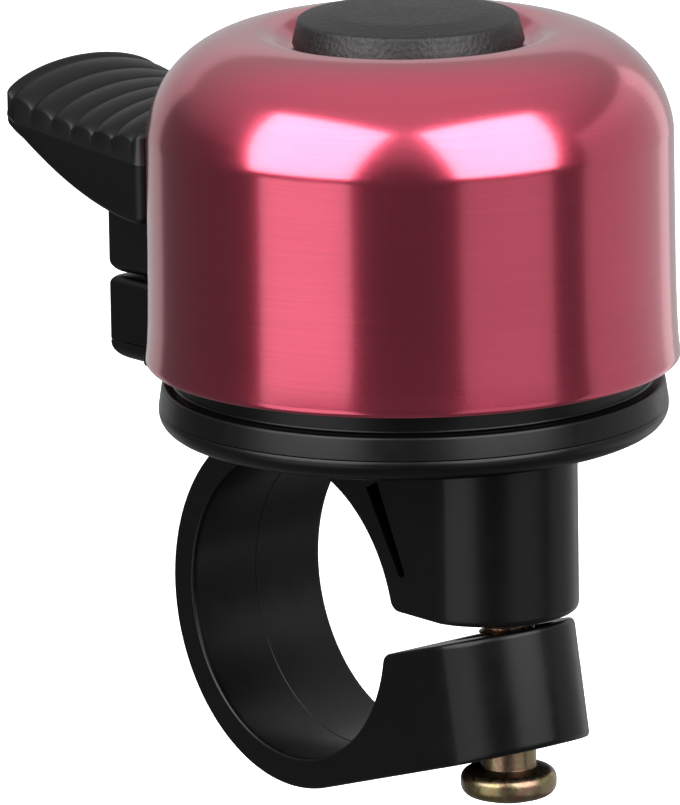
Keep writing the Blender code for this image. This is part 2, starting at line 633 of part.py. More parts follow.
# ---------------------------------------------------------------- clamp screw set
def build_clamp_screw():
    centre = (CLAMP_SCREW_X, 0.0)
    top = SCREW_HEAD_TOP_Z
    bottom = top - SCREW_HEAD_HEIGHT
    bulge = SCREW_HEAD_HEIGHT / 2
    profile = [(0.0, SCREW_TOP_Z), (SCREW_RADIUS - SCREW_POINT, SCREW_TOP_Z),
               (SCREW_RADIUS, SCREW_TOP_Z - SCREW_POINT), (SCREW_RADIUS, top)]
    profile += [(SCREW_HEAD_RADIUS - bulge + bulge * cos(radians(a)),
                 (top + bottom) / 2 + bulge * sin(radians(a)))
                for a in range(90, -91, -20)]
    profile += [(0.0, bottom)]
    screw = turned("clamp_screw", profile, centre, SMALL_ROUND, closed=False)
    combine(screw, cross_recess("clamp_screw_cross", centre, bottom - CUT_PAST, bottom + CROSS_DEPTH),
            "DIFFERENCE")
    finish_part(screw, YELLOW_ZINC, 0.3, 1.0)

    nut = cylinder_nut("clamp_nut", NUT_FLATS / 2 / cos(pi / 6), NUT_BOTTOM_Z,
                       NUT_BOTTOM_Z + NUT_HEIGHT, centre)
    finish_part(nut, YELLOW_ZINC, 0.35, 1.0)

    retainer_high = UPPER_JAW_BOTTOM_Z - RETAINER_GAP
    retainer = turned("retaining_washer",
                      washer_profile(SCREW_RADIUS + THREAD_GAP, RETAINER_RADIUS,
                                     retainer_high - RETAINER_HEIGHT, retainer_high),
                      centre, SMALL_ROUND)
    finish_part(retainer, (0.03, 0.03, 0.03), 0.5)


def cylinder_nut(name, radius, low, high, centre):
    """Hexagon nut with a clear round hole."""
    nut = turned(name, [(0.0, high), (radius, high), (radius, low), (0.0, low)], centre, 6,
                 closed=False)
    hole = cylinder_cutter(name + "_hole", SCREW_RADIUS + THREAD_GAP, low - CUT_PAST, high + CUT_PAST,
                           centre)
    combine(nut, hole, "DIFFERENCE")
    return nut


# ---------------------------------------------------------------- lever
def pad_side_z(x):
    """Height of the thumb pad's side edges: lowest near the middle."""
    return PAD_LOW_Z + PAD_SWEEP * (x - PAD_LOW_X) ** 2


def hull_bottom_z(x):
    """Underside of the lever's hull, sweeping from the outer tip down to the post."""
    reach = (x - PAD_INNER_X) / (PAD_OUTER_X - PAD_INNER_X)
    reach = min(max(reach, 0.0), 1.0)
    return HULL_INNER_Z + HULL_RISE * reach ** HULL_POWER


def lever_section(x, count=6):
    """Closed section of the pad and hull at x, as (y, z) points."""
    side = pad_side_z(x)
    bottom = hull_bottom_z(x)
    half = PAD_HALF_WIDTH
    crown = [(-half + 2 * half * i / (2 * count), side + PAD_CREST * (1 - (i / count - 1) ** 2))
             for i in range(2 * count + 1)]
    keel = [(half, bottom + HULL_EDGE), (half - HULL_EDGE, bottom)]
    return crown + keel + [(-y, z) for y, z in reversed(keel)]


def lever_shell():
    """Thumb pad and hull lofted along X."""
    shape = bmesh.new()
    rings = []
    for i in range(LEVER_STATIONS + 1):
        x = PAD_OUTER_X + (PAD_INNER_X - PAD_OUTER_X) * i / LEVER_STATIONS
        rings.append([shape.verts.new((x, y, z)) for y, z in lever_section(x)])
    count = len(rings[0])
    for first, second in zip(rings, rings[1:]):
        for k in range(count):
            shape.faces.new((first[k], first[(k + 1) % count], second[(k + 1) % count], second[k]))
    shape.faces.new(rings[0])
    shape.faces.new(list(reversed(rings[-1])))
    bmesh.ops.recalc_face_normals(shape, faces=shape.faces)
    mesh = bpy.data.meshes.new("thumb_lever")
    shape.to_mesh(mesh)
    shape.free()
    return add_object("thumb_lever", mesh)


def build_lever():
    lever = lever_shell()
    post = post_box("lever_post", HINGE_Z + GAP / 2, LEVER_POST_TOP_Z, LEVER_POST_ROUNDING)
    combine(lever, post, "UNION")
    socket = turned("lever_socket",
                    washer_profile(PEG_RADIUS, SPRING_RADIUS + SPRING_WIRE + GAP,
                                   HINGE_Z - CUT_PAST, SPRING_TOP_Z + GAP),
                    (POST_CENTRE_X, 0.0), SMALL_ROUND, group=CUTTERS)
    combine(lever, socket, "DIFFERENCE")
    hole = lying_cylinder("hammer_hole", HAMMER_SHANK_RADIUS + GAP,
                          (HAMMER_SHANK_END_X - GAP, 0.0, HAMMER_Z),
                          (PAD_INNER_X + CUT_PAST, 0.0, HAMMER_Z), "X")
    combine(lever, hole, "DIFFERENCE")
    apply_modifiers(lever)
    finish_part(lever, BLACK, 0.45)


def build_hammer():
    """Metal stud in the lever's inner face, with a domed head that strikes the bell."""
    dome_face = DOME_X - DOME_RADIUS
    tip = dome_face - HAMMER_GAP
    back = PAD_INNER_X + GAP
    shank = HAMMER_SHANK_RADIUS
    head = HAMMER_HEAD_RADIUS
    profile = [(0.0, tip)] + [(head * share, tip - fall) for share, fall in HAMMER_CROWN]
    profile += [(head, back), (shank, back), (shank, HAMMER_SHANK_END_X), (0.0, HAMMER_SHANK_END_X)]
    hammer = turned("hammer", profile, steps=SMALL_ROUND, closed=False)
    hammer.rotation_euler = (0.0, pi / 2, 0.0)
    hammer.location = (0.0, 0.0, HAMMER_Z)
    finish_part(hammer, ZINC, 0.3, 1.0)


def build_spring():
    """Close-wound coil that joins the lever to the lower post."""
    pitch = 2 * SPRING_WIRE + COIL_GAP
    turns = (SPRING_TOP_Z - SPRING_BOTTOM_Z - 2 * SPRING_WIRE - 2 * GAP) / pitch
    count = int(turns * COIL_POINTS)
    curve = bpy.data.curves.new("striker_spring", "CURVE")
    curve.dimensions = "3D"
    curve.bevel_depth = SPRING_WIRE
    curve.bevel_resolution = 1
    curve.use_fill_caps = True
    spline = curve.splines.new("POLY")
    spline.points.add(count - 1)
    start_z = SPRING_BOTTOM_Z + SPRING_WIRE + GAP
    for i, point in enumerate(spline.points):
        angle = 2 * pi * i / COIL_POINTS
        point.co = (POST_CENTRE_X + SPRING_RADIUS * cos(angle), SPRING_RADIUS * sin(angle),
                    start_z + pitch * i / COIL_POINTS, 1.0)
    source = add_object("striker_spring_path", curve)
    spring = curve_to_mesh(source, "striker_spring")
    finish_part(spring, ZINC, 0.3, 1.0)


def hang(name, place, parts):
    """Parent moving parts to an empty on their joint's axis, leaving them where they are."""
    axis = bpy.data.objects.new(name, None)
    PARTS.objects.link(axis)
    axis.location = place
    for part in parts:
        thing = bpy.data.objects[part]
        thing.parent = axis
        thing.matrix_parent_inverse = Matrix.Translation(-Vector(place))


build_dome()
build_cap()
build_dome_stack()
build_tray()
build_bracket()
build_clamp_arm()
build_clamp_screw()
build_lever()
build_hammer()
build_spring()
hang("lever_axis", (HINGE_X, 0.0, HINGE_Z), ["thumb_lever", "hammer"])
hang("clamp_flex_axis", (-BORE_RADIUS - RING_WALL / 2, 0.0, 0.0), ["clamp_arm"])
hang("clamp_screw_axis", (CLAMP_SCREW_X, 0.0, 0.0), ["clamp_screw", "retaining_washer"])
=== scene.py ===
"""Looks of the bicycle bell: detailed meshes, materials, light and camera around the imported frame."""
import bpy
import bmesh
import numpy as np
from math import atan2, cos, degrees, pi, radians, sin, sqrt, tan
from mathutils import Matrix, Vector


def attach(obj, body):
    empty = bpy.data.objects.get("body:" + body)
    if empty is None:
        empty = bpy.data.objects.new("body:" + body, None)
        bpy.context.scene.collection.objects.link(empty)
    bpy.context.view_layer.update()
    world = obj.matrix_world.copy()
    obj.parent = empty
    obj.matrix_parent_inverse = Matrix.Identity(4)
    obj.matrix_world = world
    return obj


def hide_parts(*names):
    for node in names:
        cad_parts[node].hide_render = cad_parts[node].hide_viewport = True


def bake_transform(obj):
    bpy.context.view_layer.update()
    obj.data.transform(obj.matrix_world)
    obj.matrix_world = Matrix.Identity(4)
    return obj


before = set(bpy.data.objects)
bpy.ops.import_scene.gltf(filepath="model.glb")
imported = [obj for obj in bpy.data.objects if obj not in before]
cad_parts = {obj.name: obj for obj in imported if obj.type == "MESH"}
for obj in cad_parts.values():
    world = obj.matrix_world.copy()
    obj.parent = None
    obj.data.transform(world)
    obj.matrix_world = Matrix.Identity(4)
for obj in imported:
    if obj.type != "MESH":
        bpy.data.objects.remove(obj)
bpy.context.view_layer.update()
MM = 0.001

# Clamp, in millimetres.  The origin is the centre of the bore.
BORE_RADIUS = 11.1
BORE_CLOSE_IN = 1.15                # how far the free lower end closes in with no bar held
RING_WALL = 2.15
CLAMP_HALF_WIDTH = 5.8
CLAMP_FILLET = 0.22                 # smaller than every corner radius of the outlines
UPPER_JAW_END = 15.2                # centres of the round jaw ends
LOWER_JAW_END = 14.6
UPPER_JAW_BOTTOM = 2.2
UPPER_TOP = 14.2                    # the upper half runs up into the bowl
UPPER_START = 122.0                 # where the ring leaves for the bowl, in degrees
UPPER_RISE = [(-6.6, UPPER_TOP - 1.6, 1.0), (-5.2, UPPER_TOP)]
UPPER_TOP_ROUND = 0.5
UPPER_HEEL_ROUND = 0.55             # lower edge of the upper jaw's end
LOWER_HEEL_ROUND = 0.45
LOWER_TOP_ROUND = 0.42
JAW_TILT = radians(17.5)
JAW_TOP_TILT = radians(16.7)        # the lower jaw tapers slightly
JAW_END_TILT = radians(10.5)
LOWER_JAW_TOP = -3.95
LOWER_JAW_BOTTOM = -12.5
JAW_CORNER = 0.9                    # radius where the bore runs out into each jaw
ARC_CLEAR = 0.02                    # keeps a straight run from the first point of the arc
JAW_CORNER_ANGLE = 350.0            # roughly where that corner of the lower jaw lies
FLEX_START = 140.0                  # the free back of the ring, in degrees round the bore
FLEX_END = 220.0
POCKET_HEAD = Vector((9.0, 10.8))
POCKET_FOOT = Vector((12.05, 5.1))
POCKET_HEAD_WIDTH = 1.35
POCKET_FOOT_WIDTH = 0.7
POCKET_DEPTH = 3.9
SEAM_HEIGHT = 0.035                 # moulding line round the inner face of the ring
SEAM_HALF_WIDTH = 0.09
SEAM_RAMP = 0.02                    # half of the step at either edge of the moulding line
BESIDE_SEAM = 0.3                   # extra slice beside the moulding line
OFF_SEAM = 9.0                      # any place along Y that is clear of the moulding line
RING_STEP = 2.0                     # degrees from point to point round the ring

# Dome, base and lever post, in millimetres
DOME_X = 6.7
RIM_Z = 18.6
DOME_RADIUS = 18.2
DOME_WALL = 0.9
DOME_HOLE = 2.3
CROWN_RADIUS = 10.4                 # where the ridge ends and the shoulder starts
CROWN_RISE = 23.1                   # from the rim to the top of the ridge
WALL_RISE = 16.2                    # from the rim to the end of the shoulder
SHOULDER_TURN = radians(83.5)
RIM_BREAK = 0.12
RIM_CLEAR = 0.3                     # the inner face stops this far above the rim
CAP_GRID = 0.25                     # longest step along the cap's profile
POST_HOLE_RADIUS = 2.3              # hole for the dome screw down the centre post
POST_HOLE_BOTTOM = 19.7
INSERT_BOTTOM = 28.1
INSERT_HOLE_RADIUS = 3.05
CENTRE_POST_RADIUS = 3.6
CENTRE_POST_TOP = 34.9
BASE_BOTTOM = 13.75
BASE_PART = 15.35
PARTING = 0.03                      # half of the fine line between bowl and tray
PARTING_BREAK = 0.08                # chamfer on the bowl's rim at that line
TRAY_TOP = 17.05
TRAY_HOLE = 3.9
TRAY_LIP_TOP = 19.3
TRAY_LIP_INNER = 15.0
TRAY_LIP_OUTER = 16.6
BASE_RADIUS = 17.7
BOWL_EDGE = 0.15                    # upright part of the bowl's rim
BOWL_CURVE = 1.55                   # how far the bowl's side draws in
BRIDGE_REACH = 12.0                 # the bridge to the post ends this far from the dome's axis
BRIDGE_LIFT = 0.2                   # its underside lies above the bowl's
POST_X = -19.3
POST_LENGTH = 7.5
POST_WIDTH = 7.0
POST_CORNER = 0.35                  # radius of the upright edges
POST_CORNER_GROWTH = 0.4            # how much of the inset is added to it
NEAR_SHARP = 0.05
TRAY_BRIDGE_ROUND = 0.25
BOWL_BRIDGE_ROUND = 0.3
BLOCK_ROUND = 0.65                  # upper edges of the tray's half of the post
FOOT_ROUND = 1.2                    # lower edges of the bowl's part of it
LEVER_FOOT_ROUND = 1.0              # lower edges of the lever's half
LEVER_TOP_ROUND = 0.3
HINGE_Z = 20.15
POST_GAP = 0.08                     # from the hinge to either half of the post
HINGE_X = -22.0
INWARD_SLOPE = 0.045                # the lever's foot rises inwards, so that it can tip inwards
COIL_RADIUS = 1.75                  # middle of the striker spring's wire
COIL_WIRE = 0.35                    # the wire's own radius
COIL_LOW = 15.85                    # middle of the wire at either end
COIL_HIGH = 24.95
COIL_TURNS = 11.1
SOCKET_RADIUS = 2.4                 # round the coil
SOCKET_TOP = 25.9
SOCKET_CUT = 18.0                   # its cutter starts below the lever
PEG_RADIUS = 1.0                    # moulded peg inside the coil's upper end

# Clamp screw, in millimetres
SCREW_X = 16.4
SCREW_TOP = 13.2
THREAD_END = -6.6
THREAD_PITCH = 0.7
THREAD_RADIUS = 1.98
THREAD_DEPTH = 0.42
THREAD_STEEPNESS = 1.25             # above 1 the thread's roots are flat
THREAD_FADE = 0.5                   # run-out at either end of the thread
THREAD_GRID = 0.07                  # height of one row of faces
TIP_CHAMFER = 0.45
AXIS_RADIUS = 0.001                 # stands for the axis itself, where a ring has to stay open
SHANK_RADIUS = 1.93
HEAD_RADIUS = 3.33
HEAD_BOTTOM = -11.05
HEAD_PROFILE = [(0.0, HEAD_BOTTOM), (1.9, HEAD_BOTTOM, 0.3), (HEAD_RADIUS, -10.6, 0.8),
                (HEAD_RADIUS, -9.1, 0.75), (2.2, -8.85, 0.2), (SHANK_RADIUS, -8.8, 0.05),
                (SHANK_RADIUS, THREAD_END - 0.3)]
CROSS_LENGTH = 1.6                  # half sizes of the cross recess
CROSS_WIDTH = 0.4
CROSS_TOP = -9.9
SCREW_HOLE_RADIUS = 2.3
SCREW_HOLE_TOP = 14.5
SLOT_INWARD = 2.1                   # the arm's slot lets it swing past the screw
SLOT_OUTWARD = 1.5
SLOT_BOTTOM = -20.0
SLOT_TOP = 8.0
NUT_POCKET_RADIUS = 4.215           # to the corners of the hexagon
NUT_POCKET_TOP = 16.4
NUT_POCKET_BOTTOM = 9.1
CUT_PAST = 1.0                      # how far a cutter runs past the face that it opens


# ---------------------------------------------------------------- mesh building
NEAR_ZERO = 1e-6
SHARE = 0.49                        # the most of a side that one rounded corner may take up


def quarter_turn(steps):
    """Angles from 0 to a right angle, in radians."""
    return [k * pi / 2 / steps for k in range(steps + 1)]


def clean(name, points, faces, sharp=35.0):
    """Mesh object from points in millimetres, with outward normals and smoothed faces."""
    mesh = bpy.data.meshes.new(name)
    mesh.from_pydata([tuple(c * MM for c in p) for p in points], [], faces)
    shape = bmesh.new()
    shape.from_mesh(mesh)
    bmesh.ops.recalc_face_normals(shape, faces=shape.faces)
    shape.to_mesh(mesh)
    shape.free()
    thing = bpy.data.objects.new(name, mesh)
    bpy.context.scene.collection.objects.link(thing)
    smooth(thing, sharp)
    return thing


def smooth(thing, sharp):
    """Smooth shading, except over edges that turn by more than sharp degrees."""
    thing.data.shade_smooth()
    thing.data.set_sharp_from_angle(angle=radians(sharp))
    step = thing.modifiers.new("even_normals", "WEIGHTED_NORMAL")
    step.keep_sharp = True


def loft(name, rows, sharp=35.0):
    """Closed skin over rows of points; each row is a loop with the same number of points."""
    count = len(rows[0])
    points = [p for row in rows for p in row]
    faces = []
    for r in range(len(rows) - 1):
        for k in range(count):
            n = (k + 1) % count
            faces.append((r * count + k, r * count + n, (r + 1) * count + n, (r + 1) * count + k))
    faces.append(tuple(range(count)))
    faces.append(tuple(range((len(rows) - 1) * count, len(rows) * count)))
    return clean(name, points, faces, sharp)


def lathe(name, profile, centre=(0.0, 0.0), steps=128, closed=False, sharp=35.0):
    """Turn (radius, z) points about the vertical axis through centre."""
    points = []
    rows = []
    for radius, z in profile:
        if radius < NEAR_ZERO:
            rows.append([len(points)] * steps)
            points.append((centre[0], centre[1], z))
            continue
        rows.append(list(range(len(points), len(points) + steps)))
        points += [(centre[0] + radius * cos(2 * pi * k / steps),
                    centre[1] + radius * sin(2 * pi * k / steps), z) for k in range(steps)]
    pairs = list(zip(rows, rows[1:]))
    if closed:
        pairs.append((rows[-1], rows[0]))
    faces = []
    for first, second in pairs:
        for k in range(steps):
            n = (k + 1) % steps
            corners = []
            for v in (first[k], first[n], second[n], second[k]):
                if v not in corners:
                    corners.append(v)
            if len(corners) > 2:
                faces.append(tuple(corners))
    return clean(name, points, faces, sharp)


def rounded(points, closed=False, count=5):
    """Outline in which each corner given as (x, y, radius) becomes an arc."""
    out = []
    total = len(points)
    for i, point in enumerate(points):
        radius = point[2] if len(point) > 2 else 0.0
        if radius <= 0 or (not closed and i in (0, total - 1)):
            out.append((point[0], point[1]))
            continue
        here = Vector(point[:2])
        back = Vector(points[i - 1][:2]) - here
        ahead = Vector(points[(i + 1) % total][:2]) - here
        half = back.angle(ahead) / 2
        along = min(radius / tan(half), SHARE * back.length, SHARE * ahead.length)
        radius = along * tan(half)
        centre = here + (back.normalized() + ahead.normalized()).normalized() * radius / sin(half)
        first = here + back.normalized() * along - centre
        second = here + ahead.normalized() * along - centre
        start = atan2(first.y, first.x)
        turn = (atan2(second.y, second.x) - start + pi) % (2 * pi) - pi
        out += [(centre.x + radius * cos(start + turn * k / count),
                 centre.y + radius * sin(start + turn * k / count)) for k in range(count + 1)]
    return out


def resampled(points, spacing):
    """Same open outline with extra points, so that no step is longer than spacing."""
    out = []
    for a, b in zip(points, points[1:]):
        length = sqrt((a[0] - b[0]) ** 2 + (a[1] - b[1]) ** 2)
        steps = max(1, int(np.ceil(length / spacing)))
        out += [(a[0] + (b[0] - a[0]) * k / steps, a[1] + (b[1] - a[1]) * k / steps)
                for k in range(steps)]
    out.append(points[-1])
    return out


def offset(run, inset):
    """Move an open outline sideways, to the left of its direction."""
    if abs(inset) < NEAR_ZERO:
        return list(run)
    points = np.array(run, float)
    along = np.diff(points, axis=0)
    along /= np.linalg.norm(along, axis=1)[:, None]
    normal = np.stack([-along[:, 1], along[:, 0]], 1)
    at = np.vstack([normal[:1], normal[:-1] + normal[1:], normal[-1:]])
    at /= np.linalg.norm(at, axis=1)[:, None]
    return [tuple(p) for p in points + at * inset]


def arc(centre, radius, start, end, count):
    """Points on a circle, angles in degrees."""
    return [(centre[0] + radius * cos(radians(start + (end - start) * i / (count - 1))),
             centre[1] + radius * sin(radians(start + (end - start) * i / (count - 1))))
            for i in range(count)]


def slices(name, runs_at):
    """Clamp solid made of upright slices along Y; its two side faces have filleted rims."""
    rows = []
    for a in quarter_turn(5):
        rows.append((CLAMP_HALF_WIDTH - CLAMP_FILLET + CLAMP_FILLET * cos(a),
                     CLAMP_FILLET * (1 - sin(a))))
    inner = [CLAMP_HALF_WIDTH * sin(radians(t)) for t in range(66, 0, -6)]
    inner += [SEAM_HALF_WIDTH - SEAM_RAMP, SEAM_HALF_WIDTH + SEAM_RAMP, BESIDE_SEAM]
    rows += [(y, 0.0) for y in sorted(inner, reverse=True)] + [(0.0, 0.0)]
    rows = rows + [(-y, inset) for y, inset in reversed(rows[:-1])]
    outline = np.array([p for run in runs_at(CLAMP_HALF_WIDTH) for p in run])
    ahead = np.roll(outline, -1, axis=0)
    area = np.sum(outline[:, 0] * ahead[:, 1] - outline[:, 1] * ahead[:, 0])
    inward = 1.0 if area > 0 else -1.0
    loops = []
    for y, inset in rows:
        loop = []
        for run in runs_at(y):
            loop += offset(run, inset * inward)
        loops.append([(x, y, z) for x, z in loop])
    return loft(name, loops)


def box(name, low, high, rounding, segments=4):
    """Block with all edges rounded, corners in millimetres."""
    shape = bmesh.new()
    bmesh.ops.create_cube(shape, size=1.0)
    size = Vector(high) - Vector(low)
    shape.transform(Matrix.Translation((Vector(low) + Vector(high)) / 2) @
                    Matrix.Diagonal((*size, 1.0)))
    bmesh.ops.bevel(shape, geom=list(shape.edges), offset=rounding, segments=segments,
                    profile=0.5, affect="EDGES")
    shape.transform(Matrix.Scale(MM, 4))
    mesh = bpy.data.meshes.new(name)
    shape.to_mesh(mesh)
    shape.free()
    thing = bpy.data.objects.new(name, mesh)
    bpy.context.scene.collection.objects.link(thing)
    return thing


def pillar(name, low, high, foot_round, top_round, foot_slope=0.0):
    """Block with the lever post's plan: near-sharp upright edges, rounder top and bottom.
    Its foot may slope upwards from the hinge."""
    levels = [(low + foot_round * (1 - cos(a)), foot_round * (1 - sin(a))) for a in quarter_turn(7)]
    levels += [(high - top_round * (1 - sin(a)), top_round * (1 - cos(a))) for a in quarter_turn(7)]
    rows = []
    for z, inset in levels:
        x = POST_LENGTH / 2 - inset
        y = POST_WIDTH / 2 - inset
        radius = POST_CORNER + POST_CORNER_GROWTH * inset
        plan = rounded([(x, y, radius), (-x, y, radius), (-x, -y, radius), (x, -y, radius)],
                       closed=True, count=5)
        slope = foot_slope if z < (low + high) / 2 else 0.0
        rows.append([(POST_X + px, py, z + slope * (POST_X + px - HINGE_X)) for px, py in plan])
    return loft(name, rows, sharp=50.0)


def combine(thing, tools, operation, sharp=35.0):
    """Exact booleans with each tool, applied; the tools are removed."""
    thing.modifiers.clear()
    for tool in tools:
        tool.modifiers.clear()
        step = thing.modifiers.new("step", "BOOLEAN")
        step.operation = operation
        step.solver = "EXACT"
        step.object = tool
    bpy.context.view_layer.update()
    graph = bpy.context.evaluated_depsgraph_get()
    mesh = bpy.data.meshes.new_from_object(thing.evaluated_get(graph))
    thing.modifiers.clear()
    thing.data = mesh
    for tool in tools:
        bpy.data.objects.remove(tool, do_unlink=True)
    smooth(thing, sharp)
    return thing


# ---------------------------------------------------------------- materials
class Nodes:
    """Shorthand for building a material's node tree."""

    def __init__(self, name):
        self.material = bpy.data.materials.new(name)
        self.material.use_nodes = True
        self.tree = self.material.node_tree
        self.shader = self.tree.nodes["Principled BSDF"]
        self.place = self.add("ShaderNodeTexCoord").outputs["Object"]

    def add(self, kind, **inputs):
        node = self.tree.nodes.new(kind)
        for key, value in inputs.items():
            self.feed(node.inputs[key.replace("_", " ")], value)
        return node

    def feed(self, socket, value):
        if isinstance(value, bpy.types.NodeSocket):
            self.tree.links.new(value, socket)
        else:
            socket.default_value = value

    def put(self, key, value):
        self.feed(self.shader.inputs[key], value)

    def scaled(self, scale, source):
        node = self.add("ShaderNodeMapping", Scale=scale)
        self.feed(node.inputs["Vector"], source)
        return node.outputs["Vector"]

    def noise(self, scale, detail=2.0, roughness=0.5, vector=None, distortion=0.0):
        node = self.add("ShaderNodeTexNoise", Scale=scale, Detail=detail, Roughness=roughness,
                        Distortion=distortion)
        self.feed(node.inputs["Vector"], vector or self.place)
        return node.outputs["Fac"]

    def voronoi(self, scale, vector):
        node = self.add("ShaderNodeTexVoronoi", Scale=scale)
        self.feed(node.inputs["Vector"], vector)
        return node.outputs["Distance"]

    def ramp(self, source, stops):
        node = self.add("ShaderNodeValToRGB")
        self.feed(node.inputs["Fac"], source)
        ramp = node.color_ramp
        while len(ramp.elements) < len(stops):
            ramp.elements.new(0.5)
        for element, (position, colour) in zip(ramp.elements, stops):
            element.position = position
            element.color = (*colour, 1.0)
        return node.outputs["Color"]

    def math(self, operation, first, second=0.0):
        node = self.add("ShaderNodeMath")
        node.operation = operation
        self.feed(node.inputs[0], first)
        self.feed(node.inputs[1], second)
        return node.outputs[0]

    def span(self, source, low, high, start=0.0, end=1.0):
        node = self.add("ShaderNodeMapRange")
        self.feed(node.inputs["Value"], source)
        for key, value in zip(("From Min", "From Max", "To Min", "To Max"), (start, end, low, high)):
            node.inputs[key].default_value = value
        return node.outputs["Result"]

    def bump(self, height, distance, strength, normal=None):
        node = self.add("ShaderNodeBump", Strength=strength, Distance=distance)
        self.feed(node.inputs["Height"], height)
        if normal is not None:
            self.feed(node.inputs["Normal"], normal)
        return node.outputs["Normal"]


def around_axis(n, x):
    """Angle, radius and height about the upright axis at x (metres); the lengths in millimetres."""
    parts = n.add("ShaderNodeSeparateXYZ")
    n.feed(parts.inputs["Vector"], n.place)
    angle = n.math("ARCTAN2", parts.outputs["Y"], n.math("SUBTRACT", parts.outputs["X"], x))
    east = n.math("SUBTRACT", parts.outputs["X"], x)
    radius = n.math("SQRT", n.math("ADD", n.math("MULTIPLY", east, east),
                                   n.math("MULTIPLY", parts.outputs["Y"], parts.outputs["Y"])))
    joined = n.add("ShaderNodeCombineXYZ")
    n.feed(joined.inputs["X"], angle)
    n.feed(joined.inputs["Y"], n.math("MULTIPLY", radius, 1 / MM))
    n.feed(joined.inputs["Z"], n.math("MULTIPLY", parts.outputs["Z"], 1 / MM))
    return joined.outputs["Vector"]


def anodised_red():
    """Bright raspberry metal with fine turned lines under a clear coat."""
    n = Nodes("anodised_red")
    turned = around_axis(n, DOME_X * MM)
    lines = n.noise(1.0, 3.0, 0.6, n.scaled((1.2, 9.0, 9.0), turned))
    fine = n.noise(1.0, 2.0, 0.6, n.scaled((5.0, 22.0, 22.0), turned))
    cloud = n.noise(90.0, 3.0)
    tone = n.ramp(n.math("ADD", n.math("MULTIPLY", lines, 0.5), n.math("MULTIPLY", cloud, 0.5)),
                  [(0.3, (0.50, 0.050, 0.100)), (0.7, (0.60, 0.066, 0.125))])
    n.put("Base Color", tone)
    n.put("Metallic", 1.0)
    n.put("Roughness", n.span(fine, 0.15, 0.22))
    n.put("Coat Weight", 0.9)
    n.put("Coat Roughness", 0.12)
    n.put("Anisotropic", 0.2)
    tangent = n.add("ShaderNodeTangent")
    tangent.direction_type = "RADIAL"
    tangent.axis = "Z"
    n.put("Tangent", tangent.outputs["Tangent"])
    height = n.math("ADD", n.math("MULTIPLY", lines, 0.6), n.math("MULTIPLY", fine, 0.4))
    first = n.bump(height, 0.000006, 0.6)
    peel = n.bump(n.noise(1600.0, 2.0), 0.000004, 0.35, first)
    n.put("Normal", peel)
    return n.material


BLACK_TINT = 0.0009


def moulded_black(name, roughness=(0.25, 0.37), grain=900.0, depth=0.000008):
    """Black moulded plastic with a fine speck; depth in metres."""
    n = Nodes(name)
    cloud = n.noise(130.0, 4.0, 0.6)
    tones = [(place, tuple(BLACK_TINT * share for share in shares))
             for place, shares in ((0.3, (0.8, 0.8, 0.85)), (0.7, (1.3, 1.3, 1.35)))]
    n.put("Base Color", n.ramp(cloud, tones))
    speck = n.noise(grain, 3.0, 0.6)
    n.put("Roughness", n.span(n.math("ADD", n.math("MULTIPLY", cloud, 0.6),
                                     n.math("MULTIPLY", speck, 0.4)), *roughness, 0.3, 0.7))
    n.put("Specular IOR Level", 0.22)
    fine = n.bump(speck, depth, 0.6)
    flow = n.bump(n.noise(260.0, 2.0), depth * 3, 0.35, fine)
    n.put("Normal", flow)
    return n.material


def leather_grain():
    """Black plastic with the cells and creases of leather."""
    n = Nodes("cap_grain")
    warp = n.noise(900.0, 2.0)
    shifted = n.add("ShaderNodeVectorMath")
    shifted.operation = "ADD"
    n.feed(shifted.inputs[0], n.place)
    offset_by = n.add("ShaderNodeCombineXYZ")
    small = n.math("MULTIPLY", warp, 0.0003)
    for key in ("X", "Y"):
        n.feed(offset_by.inputs[key], small)
    n.feed(shifted.inputs[1], offset_by.outputs["Vector"])
    cells = n.voronoi(2600.0, shifted.outputs["Vector"])
    creases = n.noise(3400.0, 3.0, 0.6)
    height = n.math("SUBTRACT", n.math("MULTIPLY", creases, 0.8), n.math("MULTIPLY", cells, 0.7))
    n.put("Base Color", n.ramp(creases, [(0.35, (0.002, 0.002, 0.002)),
                                         (0.7, (0.006, 0.006, 0.006))]))
    n.put("Specular IOR Level", 0.38)
    n.put("Roughness", n.span(creases, 0.42, 0.58, 0.3, 0.7))
    n.put("Normal", n.bump(height, 0.00006, 0.75))
    return n.material


PLATING_SCALE = 500.0


def plated(name, colours, roughness=(0.2, 0.38)):
    """Bare or plated metal that drifts between a few tones."""
    n = Nodes(name)
    cloud = n.noise(PLATING_SCALE, 4.0, 0.6, distortion=0.6)
    stops = [(0.3 + 0.4 * i / (len(colours) - 1), c) for i, c in enumerate(colours)]
    n.put("Base Color", n.ramp(cloud, stops))
    n.put("Metallic", 1.0)
    fine = n.noise(PLATING_SCALE * 6, 3.0)
    n.put("Roughness", n.span(fine, *roughness, 0.3, 0.7))
    n.put("Normal", n.bump(fine, 0.000008, 0.5))
    return n.material


def rubber():
    """Dull black rubber."""
    n = Nodes("rubber")
    speck = n.noise(1800.0, 3.0)
    n.put("Base Color", n.ramp(speck, [(0.3, (0.012, 0.012, 0.012)), (0.7, (0.03, 0.03, 0.03))]))
    n.put("Roughness", n.span(speck, 0.7, 0.9))
    n.put("Normal", n.bump(speck, 0.00003, 0.5))
    return n.material


